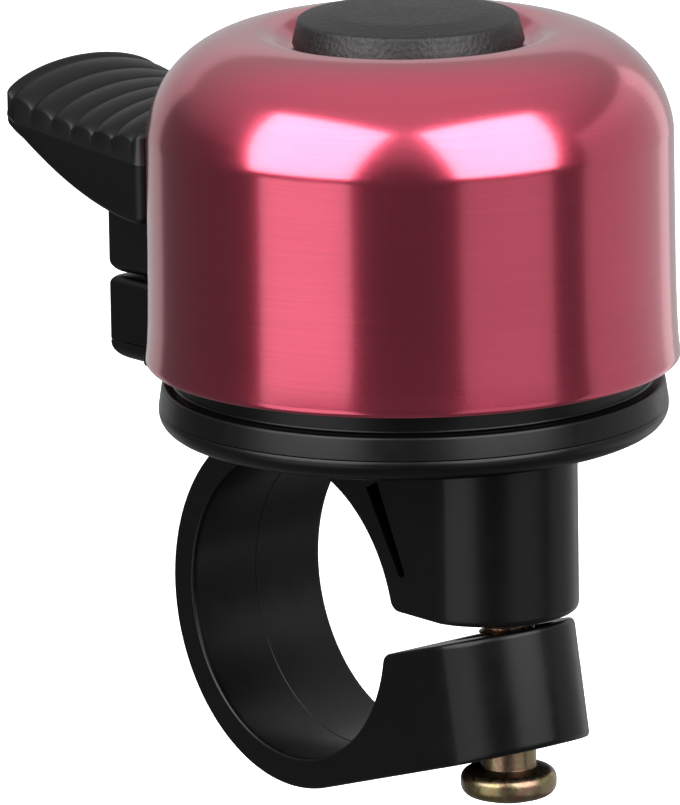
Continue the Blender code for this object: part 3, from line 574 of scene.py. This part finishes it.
BLACK = moulded_black("moulded_black")
MATT_BLACK = moulded_black("pad_black", (0.34, 0.46), 1500.0, 0.00002)
RED = anodised_red()
CAP = leather_grain()
YELLOW_ZINC = plated("yellow_zinc", [(0.20, 0.14, 0.06), (0.23, 0.20, 0.11), (0.21, 0.12, 0.09),
                                     (0.14, 0.16, 0.09)], (0.24, 0.38))
STEEL = plated("zinc_steel", [(0.50, 0.50, 0.50), (0.62, 0.62, 0.61)])
BRASS = plated("brass", [(0.62, 0.42, 0.16), (0.72, 0.52, 0.22)])
ALLOY = plated("spacer_alloy", [(0.60, 0.60, 0.61), (0.72, 0.72, 0.72)], (0.3, 0.45))
RUBBER = rubber()
DARK_WASHER = plated("dark_washer", [(0.05, 0.05, 0.05), (0.10, 0.09, 0.08)], (0.35, 0.5))


def dress(thing, material, body, slot, *nodes):
    """Give a new piece its finish and body, and hide the CAD nodes that it stands for."""
    thing.data.materials.clear()
    thing.data.materials.append(material)
    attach(thing, body)
    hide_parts(*nodes)
    return thing


# ---------------------------------------------------------------- dome and cap
# Profiles as (radius, height above the rim) or (radius, height above the rim, corner radius)
DOME_SEAT = [(DOME_HOLE, 19.3), (6.55, 19.3, 0.4), (7.25, 21.75, 0.5), (8.3, 21.95, 0.9),
             (9.35, 22.8, 1.2), (CROWN_RADIUS, CROWN_RISE)]
DOME_SIDE = [(18.215, 15.9), (18.22, 14.0), (18.23, 10.0), (18.26, 6.0), (18.32, 3.0),
             (18.40, 1.4), (18.50, 0.45)]
DOME_RIM = [(18.52, RIM_BREAK), (18.42, 0.0), (17.9, 0.0), (17.72, RIM_BREAK)]
CAP_PROFILE = [(0.0, 24.62, 0.0), (5.4, 24.42, 4.0), (7.62, 23.95, 0.35), (8.05, 22.15, 0.15),
               (6.2, 22.15, 0.1), (6.2, 19.6, 0.1), (5.1, 19.6, 0.1), (5.1, 23.4, 0.3),
               (0.0, 23.4, 0.0)]


def dome_outside():
    """Outer face from the centre hole over the ridge to the rim, heights above the rim."""
    seat = rounded(DOME_SEAT, count=6)
    wide = (DOME_RADIUS - CROWN_RADIUS) / sin(SHOULDER_TURN)
    tall = (CROWN_RISE - WALL_RISE) / (1 - cos(SHOULDER_TURN))
    steps = 40
    turns = [SHOULDER_TURN * i / steps for i in range(1, steps + 1)]
    shoulder = [(CROWN_RADIUS + wide * sin(a), CROWN_RISE - tall * (1 - cos(a))) for a in turns]
    return seat + shoulder + DOME_SIDE


def build_dome():
    outer = [(r, z + RIM_Z) for r, z in dome_outside()]
    inner = offset(outer, -DOME_WALL)
    inner = [(r, z) for r, z in inner if r > DOME_HOLE and z > RIM_Z + RIM_CLEAR]
    rim = [(r, z + RIM_Z) for r, z in DOME_RIM]
    profile = outer + rim + list(reversed(inner))
    profile += [(DOME_HOLE, inner[0][1])]
    dome = lathe("bell_dome_spun", profile, (DOME_X, 0.0), 224, closed=True, sharp=50.0)
    dress(dome, RED, "bell_body", "dome_alloy", "bell_dome")


def build_cap():
    """Domed top and leaning side, with a collar underneath that sits in the dome's centre."""
    profile = rounded([(radius, RIM_Z + rise, corner) for radius, rise, corner in CAP_PROFILE],
                      count=6)
    cap = lathe("dome_cap_grained", resampled(profile, CAP_GRID), (DOME_X, 0.0), 160, sharp=50.0)
    dress(cap, CAP, "bell_body", "cap_plastic", "dome_cap")


# ---------------------------------------------------------------- base
def plug(name, radius, high, low, x, steps=48):
    """Upright round cutter at x."""
    return lathe(name, [(0.0, high), (radius, high), (radius, low), (0.0, low)], (x, 0.0), steps)


def build_tray():
    """Tray with a raised lip, a bridge and the lower half of the lever's post."""
    bottom = BASE_PART + PARTING
    profile = rounded([(TRAY_HOLE, TRAY_TOP), (TRAY_LIP_INNER, TRAY_TOP, 0.2),
                       (TRAY_LIP_INNER, TRAY_LIP_TOP, 0.15), (TRAY_LIP_OUTER, TRAY_LIP_TOP, 0.2),
                       (TRAY_LIP_OUTER, TRAY_TOP, 0.2), (17.45, TRAY_TOP, 0.3),
                       (BASE_RADIUS, bottom, 0.05), (TRAY_HOLE, bottom)], closed=True, count=4)
    tray = lathe("base_tray_moulded", profile, (DOME_X, 0.0), 192, closed=True)
    bridge = box("bridge", (POST_X, -POST_WIDTH / 2, bottom),
                 (DOME_X - BRIDGE_REACH, POST_WIDTH / 2, TRAY_TOP), TRAY_BRIDGE_ROUND)
    block = pillar("block", bottom, HINGE_Z - POST_GAP, NEAR_SHARP, BLOCK_ROUND)
    combine(tray, [bridge, block], "UNION")
    socket = plug("socket", SOCKET_RADIUS, HINGE_Z + CUT_PAST, BASE_PART - CUT_PAST, POST_X)
    combine(tray, [socket], "DIFFERENCE")
    dress(tray, BLACK, "bell_body", "black_plastic", "base_tray")


# ---------------------------------------------------------------- clamp
def bore_at(angle, y=OFF_SEAM):
    """Inner radius of the relaxed clamp; a low moulding line runs round its middle."""
    radius = BORE_RADIUS
    if angle > 180.0:
        radius -= BORE_CLOSE_IN * sin(radians(angle - 180.0) / 2) ** 2
    if abs(y) < SEAM_HALF_WIDTH:
        radius -= SEAM_HEIGHT
    return radius


def ring(wall, start, end, y=OFF_SEAM):
    """Points along the clamp ring at a wall's distance outside its inner face."""
    count = max(2, int(round(abs(end - start) / RING_STEP)) + 1)
    out = []
    for i in range(count):
        angle = start + (end - start) * i / (count - 1)
        radius = bore_at(angle, y if wall == 0.0 else OFF_SEAM) + wall
        out.append((radius * cos(radians(angle)), radius * sin(radians(angle))))
    return out


def end_reach(centre, y):
    """How far a round jaw end reaches in the slice at y."""
    return centre + sqrt(max(CLAMP_HALF_WIDTH ** 2 - y ** 2, 0.0))


def upper_runs(y):
    """Outline of the ring's upper half with the upper jaw, in the slice at y."""
    corner_z = UPPER_JAW_BOTTOM + JAW_CORNER
    corner_x = sqrt((BORE_RADIUS + JAW_CORNER) ** 2 - corner_z ** 2)
    corner_angle = degrees(atan2(corner_z, corner_x))
    reach = end_reach(UPPER_JAW_END, y)
    outside = ring(RING_WALL, FLEX_START, UPPER_START)
    block = rounded([outside[-1], *UPPER_RISE, (reach, UPPER_TOP, UPPER_TOP_ROUND),
                     (reach, UPPER_JAW_BOTTOM, UPPER_HEEL_ROUND),
                     (corner_x + ARC_CLEAR, UPPER_JAW_BOTTOM)], count=4)
    bend = arc((corner_x, corner_z), JAW_CORNER, 270.0, 180.0 + corner_angle, 7)
    inside = ring(0.0, corner_angle, FLEX_START, y)
    return [outside[:-1] + block + bend[1:-1] + inside]


def flex_runs(y):
    """Outline of the ring's thin back, in the slice at y."""
    return [ring(RING_WALL, FLEX_END, FLEX_START), ring(0.0, FLEX_START, FLEX_END, y)]


def jaw_point(along, across, tilt):
    """Point in the frame of the lower jaw, which slopes up by tilt."""
    return (along * cos(tilt) - across * sin(tilt), along * sin(tilt) + across * cos(tilt))


def jaw_end(reach, across, tilt):
    """Where the leaning end wall meets a face of the lower jaw."""
    turn = tilt - JAW_END_TILT
    along = (reach + across * sin(turn)) / cos(turn)
    return jaw_point(along, across, tilt)


def lower_runs(y):
    """Outline of the ring's lower half with the lower jaw, in the slice at y."""
    reach = end_reach(LOWER_JAW_END, y)
    outside = ring(RING_WALL, FLEX_END, 270.0 + degrees(JAW_TILT))[:-2]
    centre_across = LOWER_JAW_TOP - JAW_CORNER
    along = sqrt((bore_at(JAW_CORNER_ANGLE) + JAW_CORNER) ** 2 - centre_across ** 2)
    centre = jaw_point(along, centre_across, JAW_TOP_TILT)
    inner_angle = degrees(atan2(centre[1], centre[0]))
    block = rounded([outside[-1],
                     (*jaw_end(reach, LOWER_JAW_BOTTOM, JAW_TILT), LOWER_HEEL_ROUND),
                     (*jaw_end(reach, LOWER_JAW_TOP, JAW_TOP_TILT), LOWER_TOP_ROUND),
                     jaw_point(along, LOWER_JAW_TOP, JAW_TOP_TILT)], count=4)
    bend = arc(centre, JAW_CORNER, degrees(JAW_TOP_TILT) + 90.0, 180.0 + inner_angle, 7)
    inside = ring(0.0, 360.0 + inner_angle, FLEX_END, y)
    return [outside[:-1] + block + bend[1:-1] + inside]


def build_bracket():
    """Bowl, centre post, upper half of the clamp ring and upper jaw."""
    clamp = slices("clamp_bracket_moulded", upper_runs)
    top = BASE_PART - PARTING
    edge = top - BOWL_EDGE
    curve = [(BASE_RADIUS - BOWL_CURVE + BOWL_CURVE * cos(a), edge - (edge - BASE_BOTTOM) * sin(a))
             for a in quarter_turn(8)]
    profile = [(POST_HOLE_RADIUS, INSERT_BOTTOM), (INSERT_HOLE_RADIUS, INSERT_BOTTOM),
               (INSERT_HOLE_RADIUS, CENTRE_POST_TOP), (CENTRE_POST_RADIUS, CENTRE_POST_TOP),
               (CENTRE_POST_RADIUS, top), (BASE_RADIUS - PARTING_BREAK, top)]
    profile += curve + [(0.0, BASE_BOTTOM), (0.0, POST_HOLE_BOTTOM),
                        (POST_HOLE_RADIUS, POST_HOLE_BOTTOM)]
    bowl = lathe("bowl", profile, (DOME_X, 0.0), 192, closed=True)
    half = POST_WIDTH / 2
    bottom = BASE_BOTTOM + BRIDGE_LIFT
    bridge = box("bridge", (POST_X, -half, bottom), (DOME_X - BRIDGE_REACH, half, top),
                 BOWL_BRIDGE_ROUND)
    foot = pillar("foot", bottom, top, FOOT_ROUND, NEAR_SHARP)
    combine(clamp, [bowl, bridge, foot], "UNION")
    cutters = [pocket(side) for side in (-1, 1)]
    cutters.append(plug("hole", SCREW_HOLE_RADIUS, SCREW_HOLE_TOP, 0.0, SCREW_X))
    cutters.append(plug("nut_pocket", NUT_POCKET_RADIUS, NUT_POCKET_TOP, NUT_POCKET_BOTTOM,
                        SCREW_X, 6))
    combine(clamp, cutters, "DIFFERENCE")
    dress(clamp, BLACK, "bell_body", "black_plastic", "clamp_bracket")


def pocket(side):
    """Straight core-out pocket beside the bore that narrows towards its round foot."""
    along = (POCKET_FOOT - POCKET_HEAD).normalized()
    across = Vector((-along.y, along.x))
    turn = degrees(atan2(across.y, across.x))
    outline = [tuple(POCKET_HEAD - across * POCKET_HEAD_WIDTH / 2),
               tuple(POCKET_HEAD + across * POCKET_HEAD_WIDTH / 2)]
    outline += arc(POCKET_FOOT, POCKET_FOOT_WIDTH / 2, turn, turn - 180.0, 17)
    near = side * (CLAMP_HALF_WIDTH + CUT_PAST)
    far = side * (CLAMP_HALF_WIDTH - POCKET_DEPTH)
    return loft("pocket", [[(x, y, z) for x, z in outline] for y in (near, far)])


def build_arm():
    """Lower half of the clamp ring and lower jaw, with a slot for the screw."""
    arm = slices("clamp_arm_moulded", lower_runs)
    left = arc((SCREW_X - SLOT_INWARD, 0.0), SCREW_HOLE_RADIUS, 90.0, 270.0, 25)
    right = arc((SCREW_X + SLOT_OUTWARD, 0.0), SCREW_HOLE_RADIUS, -90.0, 90.0, 25)
    slot = loft("slot", [[(x, y, z) for x, y in left + right] for z in (SLOT_BOTTOM, SLOT_TOP)])
    combine(arm, [slot], "DIFFERENCE")
    dress(arm, BLACK, "jaw_arm", "black_plastic", "clamp_arm")


def build_flex():
    """Thin back of the clamp ring, built as one fixed piece; on the real bell it bends as the clamp
    opens.
    """
    flex = slices("clamp_ring_back", flex_runs)
    flex.data.materials.append(BLACK)
    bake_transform(flex)


# ---------------------------------------------------------------- clamp screw
def build_clamp_screw():
    """Pan head screw with a rolled thread; the head is underneath."""
    steps = 72
    turns = [2 * pi * k / steps for k in range(steps)]
    heights = list(np.arange(THREAD_END, SCREW_TOP, THREAD_GRID)) + [SCREW_TOP]
    rows = []
    for width, z in rounded(HEAD_PROFILE, count=6):
        radius = max(width, AXIS_RADIUS)
        rows.append([(SCREW_X + radius * cos(a), radius * sin(a), z) for a in turns])
    for z in heights:
        above = min(1.0, max(0.0, (z - THREAD_END) / THREAD_FADE))
        below = min(1.0, max(0.0, (SCREW_TOP - z) / THREAD_FADE))
        tip = TIP_CHAMFER * max(0.0, 1 - (SCREW_TOP - z) / THREAD_FADE)
        row = []
        for k, a in enumerate(turns):
            phase = (z / THREAD_PITCH - k / steps) % 1.0
            tooth = min(1.0, abs(2 * phase - 1) * THREAD_STEEPNESS)
            radius = THREAD_RADIUS - THREAD_DEPTH * tooth * above * below - tip
            row.append((SCREW_X + radius * cos(a), radius * sin(a), z))
        rows.append(row)
    screw = loft("clamp_screw_threaded", rows, sharp=50.0)
    bars = [box("bar", (SCREW_X - x, -y, HEAD_BOTTOM - CUT_PAST), (SCREW_X + x, y, CROSS_TOP),
                NEAR_SHARP, 1)
            for x, y in ((CROSS_LENGTH, CROSS_WIDTH), (CROSS_WIDTH, CROSS_LENGTH))]
    combine(screw, bars, "DIFFERENCE", 50.0)
    dress(screw, YELLOW_ZINC, "jaw_screw", "yellow_zinc", "clamp_screw")


# ---------------------------------------------------------------- lever
PAD_OUTER = -30.3
PAD_INNER = -14.7
PAD_HALF = 6.85                     # half of the pad's width
PAD_EDGE = 31.4                     # lowest height of the pad's long edges,
PAD_DIP_X = -19.5                   # which lies here
PAD_CURL = 0.012                    # how fast the edges rise on either side of it
PAD_CREST = 1.9                     # from the edges up to the middle of the pad
CREST_POWER = 0.7
OUTER_ROUND = 0.5
INNER_ROUND = 0.8
RIDGE_PITCH = 2.29
RIDGE_START = -29.4
RIDGE_DEPTH = 0.5
RIDGE_POWER = 0.55                  # below 1 the lands are broad and the valleys narrow
RIDGE_MARGIN = 0.6                  # plain strip at the pad's inner end
EDGE_SHARE = 0.9                    # how much of a valley's depth reaches the pad's edges
MIDDLE_LOSS = 0.25                  # how much less of it reaches the middle
HULL_BOTTOM = 25.3                  # height of the hull's underside at its inner end
HULL_RISE = 5.3                     # and how far it has risen at the outer end
HULL_POWER = 1.85
HULL_EDGE = 0.5
LINE_HEIGHT = 29.73                 # moulding line along each side at LINE_X,
LINE_X = -16.1
LINE_SLOPE = 0.065                  # from where it climbs outwards
LINE_ABOVE_HULL = 0.65
LINE_BELOW_EDGE = 0.9
PART_RIDGE = 0.05                   # how far the moulding line stands proud
PART_FOOT = 0.09
PART_TOP = 0.03
STATION_GAP = 0.115                 # from section to section along the lever
LEVER_POST_TOP = 28.0
HAMMER_HOLE_RADIUS = 1.5
HAMMER_HOLE_Z = 28.6
HAMMER_HOLE_END = -22.1
HAMMER_HOLE_CUT = -12.7             # its cutter starts past the lever's inner end


def groove(x):
    """Depth below the lands: rounded lands with narrow valleys between them."""
    phase = ((x - RIDGE_START) / RIDGE_PITCH) % 1.0
    if x < RIDGE_START - RIDGE_PITCH / 2 or x > PAD_INNER - RIDGE_MARGIN:
        return 0.0
    return RIDGE_DEPTH * (1 - abs(sin(pi * phase)) ** RIDGE_POWER)


def lever_section(x):
    """Closed section of the pad and hull at x, as (y, z) points in millimetres."""
    edge = PAD_EDGE + PAD_CURL * (x - PAD_DIP_X) ** 2
    side = edge - EDGE_SHARE * groove(x)
    reach = min(max((x - PAD_INNER) / (PAD_OUTER - PAD_INNER), 0.0), 1.0)
    bottom = HULL_BOTTOM + HULL_RISE * reach ** HULL_POWER
    count = 28
    crown = []
    for i in range(count + 1):
        y = PAD_HALF * sin((2 * i / count - 1) * pi / 2)
        height = 1 - (y / PAD_HALF) ** 2
        valley = groove(x) * (EDGE_SHARE - MIDDLE_LOSS * min(1.0, 3 * height))
        crown.append((y, edge + PAD_CREST * height ** CREST_POWER - valley))
    line = LINE_HEIGHT - LINE_SLOPE * (x - LINE_X)
    line = min(max(line, bottom + LINE_ABOVE_HULL), edge - LINE_BELOW_EDGE)
    proud = PAD_HALF + PART_RIDGE
    flank = rounded([(PAD_HALF, side), (PAD_HALF, line + PART_FOOT), (proud, line + PART_TOP),
                     (proud, line - PART_TOP), (PAD_HALF, line - PART_FOOT),
                     (PAD_HALF, bottom, HULL_EDGE), (0.0, bottom)], count=5)[1:]
    mirrored = [(-y, z) for y, z in reversed(flank[:-1])]
    return crown + flank + mirrored


def lever_plan():
    """Stations along X with how far each section draws in at the lever's two round ends."""
    turns = quarter_turn(8)
    plan = [(PAD_OUTER + OUTER_ROUND * (1 - cos(a)), OUTER_ROUND * (1 - sin(a))) for a in turns]
    start = PAD_OUTER + OUTER_ROUND
    end = PAD_INNER - INNER_ROUND
    stations = int((end - start) / STATION_GAP)
    plan += [(start + (end - start) * k / stations, 0.0) for k in range(1, stations + 1)]
    plan += [(end + INNER_ROUND * sin(a), INNER_ROUND * (1 - cos(a))) for a in turns[1:]]
    return plan


def build_lever():
    """Ridged pad, hull and the upper half of the post, with sockets for the coil and hammer."""
    rows = []
    for x, inset in lever_plan():
        section = lever_section(x)
        low = min(z for y, z in section)
        high = max(z for y, z in section)
        middle = (low + high) / 2
        half = (high - low) / 2
        narrow = 1 - inset / PAD_HALF
        squat = 1 - min(0.8 * inset, 0.7 * half) / half
        rows.append([(x, y * narrow, middle + (z - middle) * squat) for y, z in section])
    lever = loft("thumb_lever_ridged", rows, sharp=40.0)
    post = pillar("post", HINGE_Z + POST_GAP, LEVER_POST_TOP, LEVER_FOOT_ROUND, LEVER_TOP_ROUND,
                  INWARD_SLOPE)
    combine(lever, [post], "UNION", 40.0)
    socket = lathe("socket", [(PEG_RADIUS, SOCKET_CUT), (SOCKET_RADIUS, SOCKET_CUT),
                              (SOCKET_RADIUS, SOCKET_TOP), (PEG_RADIUS, SOCKET_TOP)],
                   (POST_X, 0.0), 48, closed=True)
    hole = plug("hole", HAMMER_HOLE_RADIUS, HAMMER_HOLE_END, HAMMER_HOLE_CUT, 0.0)
    hole.matrix_world = (Matrix.Translation((0, 0, HAMMER_HOLE_Z * MM)) @
                         Matrix.Rotation(pi / 2, 4, "Y"))
    combine(lever, [socket, hole], "DIFFERENCE", 40.0)
    dress(lever, MATT_BLACK, "lever", "black_plastic", "thumb_lever")


def build_spring():
    """Close-wound coil, built straight; on the real bell it bends at the hinge as the lever tips."""
    steps = int(COIL_TURNS * 28)
    sides = 12
    section = [(COIL_WIRE * cos(2 * pi * k / sides), COIL_WIRE * sin(2 * pi * k / sides))
               for k in range(sides)]
    rows = []
    for i in range(steps + 1):
        turn = 2 * pi * COIL_TURNS * i / steps
        height = COIL_LOW + (COIL_HIGH - COIL_LOW) * i / steps
        rows.append([(POST_X + (COIL_RADIUS + out) * cos(turn), (COIL_RADIUS + out) * sin(turn),
                      height + up) for out, up in section])
    coil = loft("striker_spring_coil", rows, sharp=60.0)
    coil.data.materials.append(STEEL)
    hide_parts("striker_spring")
    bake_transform(coil)


# ---------------------------------------------------------------- carried-over nodes
def finish_nodes():
    """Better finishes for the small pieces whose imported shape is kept."""
    finishes = {"dome_screw": STEEL, "dome_lock_washer": STEEL, "dome_flat_washer": STEEL,
                "dome_grommet": RUBBER, "spacer_tube": ALLOY, "post_insert": BRASS,
                "clamp_nut": YELLOW_ZINC, "hammer": STEEL, "retaining_washer": DARK_WASHER}
    for name, material in finishes.items():
        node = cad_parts[name]
        if not node.material_slots:
            node.data.materials.append(material)
        for place in node.material_slots:
            place.material = material


# ---------------------------------------------------------------- stage, light, camera
TARGET = Vector((DOME_X, 0.0, RIM_Z))
CAMERA_AZIMUTH = radians(-39.59)
CAMERA_ELEVATION = radians(13.19)
CAMERA_ROLL = radians(-0.853)
CAMERA_DISTANCE = 700.0             # millimetres
CAMERA_LENS = 452.06
CAMERA_LEFT = 5.06                  # how far beside the target the camera looks,
CAMERA_DOWN = 3.23                  # and how far below it
FLOOR_Z = -75.0
FLOOR_HALF_SIZE = 6.0               # metres
GLOW = 0.75                         # keeps the floor as pale as a lit studio sheet


def direction(azimuth, elevation):
    """Unit vector towards an azimuth and elevation in radians; azimuth 0 is +X."""
    return Vector((cos(azimuth) * cos(elevation), sin(azimuth) * cos(elevation), sin(elevation)))


def build_camera():
    """Long lens aimed near the dome's rim, with a slight roll."""
    back = direction(CAMERA_AZIMUTH, CAMERA_ELEVATION)
    ahead = -back
    right = ahead.cross(Vector((0, 0, 1))).normalized()
    up = right.cross(ahead)
    c, s = cos(CAMERA_ROLL), sin(CAMERA_ROLL)
    right, up = right * c + up * s, up * c - right * s
    place = TARGET + back * CAMERA_DISTANCE
    look = TARGET - right * CAMERA_LEFT - up * CAMERA_DOWN
    ahead = (look - place).normalized()
    right = (right - ahead * right.dot(ahead)).normalized()
    up = right.cross(ahead)
    data = bpy.data.cameras.new("camera")
    data.lens = CAMERA_LENS
    data.clip_start = 0.01
    data.clip_end = 20.0
    camera = bpy.data.objects.new("camera", data)
    bpy.context.scene.collection.objects.link(camera)
    turn = Matrix((right, up, -ahead)).transposed().to_4x4()
    camera.matrix_world = Matrix.Translation(place * MM) @ turn
    bpy.context.scene.camera = camera


def panel(name, azimuth, elevation, distance, width, height, power):
    """Soft area light that faces the bell; its azimuth is counted from the camera's."""
    data = bpy.data.lights.new(name, "AREA")
    data.shape = "RECTANGLE"
    data.size = width
    data.size_y = height
    data.energy = power
    lamp = bpy.data.objects.new(name, data)
    bpy.context.scene.collection.objects.link(lamp)
    out = direction(CAMERA_AZIMUTH + radians(azimuth), radians(elevation))
    lamp.location = TARGET * MM + out * distance
    lamp.rotation_euler = out.to_track_quat("Z", "Y").to_euler()


def build_floor():
    """Pale floor that neither lights the bell nor shows in it."""
    shape = bmesh.new()
    bmesh.ops.create_grid(shape, x_segments=2, y_segments=2, size=FLOOR_HALF_SIZE)
    shape.transform(Matrix.Translation((0, 0, FLOOR_Z * MM)))
    mesh = bpy.data.meshes.new("floor")
    shape.to_mesh(mesh)
    shape.free()
    floor = bpy.data.objects.new("floor", mesh)
    bpy.context.scene.collection.objects.link(floor)
    n = Nodes("pale_floor")
    cloud = n.noise(3.0, 3.0)
    n.put("Base Color", n.ramp(cloud, [(0.3, (0.86, 0.86, 0.86)), (0.7, (0.89, 0.89, 0.89))]))
    n.put("Roughness", 0.9)
    n.put("Emission Color", (1.0, 1.0, 1.0, 1.0))
    n.put("Emission Strength", GLOW)
    mesh.materials.append(n.material)
    floor.visible_glossy = False
    floor.visible_diffuse = False


def build_world():
    """Soft grey room, brighter overhead."""
    world = bpy.data.worlds.new("studio")
    bpy.context.scene.world = world
    world.use_nodes = True
    tree = world.node_tree
    background = tree.nodes["Background"]
    coordinates = tree.nodes.new("ShaderNodeTexCoord")
    parts = tree.nodes.new("ShaderNodeSeparateXYZ")
    tree.links.new(coordinates.outputs["Generated"], parts.inputs["Vector"])
    ramp = tree.nodes.new("ShaderNodeValToRGB")
    span = tree.nodes.new("ShaderNodeMapRange")
    span.inputs["From Min"].default_value = -1.0
    span.inputs["From Max"].default_value = 1.0
    tree.links.new(parts.outputs["Z"], span.inputs["Value"])
    tree.links.new(span.outputs["Result"], ramp.inputs["Fac"])
    stops = [(0.0, 0.25), (0.40, 0.15), (0.60, 0.17), (0.88, 0.75), (1.0, 0.95)]
    while len(ramp.color_ramp.elements) < len(stops):
        ramp.color_ramp.elements.new(0.5)
    for element, (position, value) in zip(ramp.color_ramp.elements, stops):
        element.position = position
        element.color = (value, value, value, 1.0)
    tree.links.new(ramp.outputs["Color"], background.inputs["Color"])
    background.inputs["Strength"].default_value = 1.0


def build_lights():
    """Azimuth, elevation, distance, width, height (metres and degrees) and power of each light."""
    panel("left_box", -49.0, 30.0, 0.60, 0.58, 0.60, 6.9)
    panel("right_box", 42.0, 30.0, 0.60, 0.55, 0.60, 6.7)
    panel("table_left", -47.0, -20.0, 0.60, 0.46, 0.34, 0.7)
    panel("table_right", 42.0, -20.0, 0.60, 0.46, 0.34, 0.3)
    panel("right_side", 116.0, -5.0, 0.70, 1.0, 0.9, 1.45)
    panel("back_wall", 180.0, 0.0, 0.9, 1.6, 1.0, 1.7)


bpy.context.scene.view_settings.view_transform = "Standard"
build_dome()
build_cap()
build_tray()
build_bracket()
build_flex()
build_arm()
build_clamp_screw()
build_lever()
build_spring()
finish_nodes()
build_camera()
build_floor()
build_world()
build_lights()
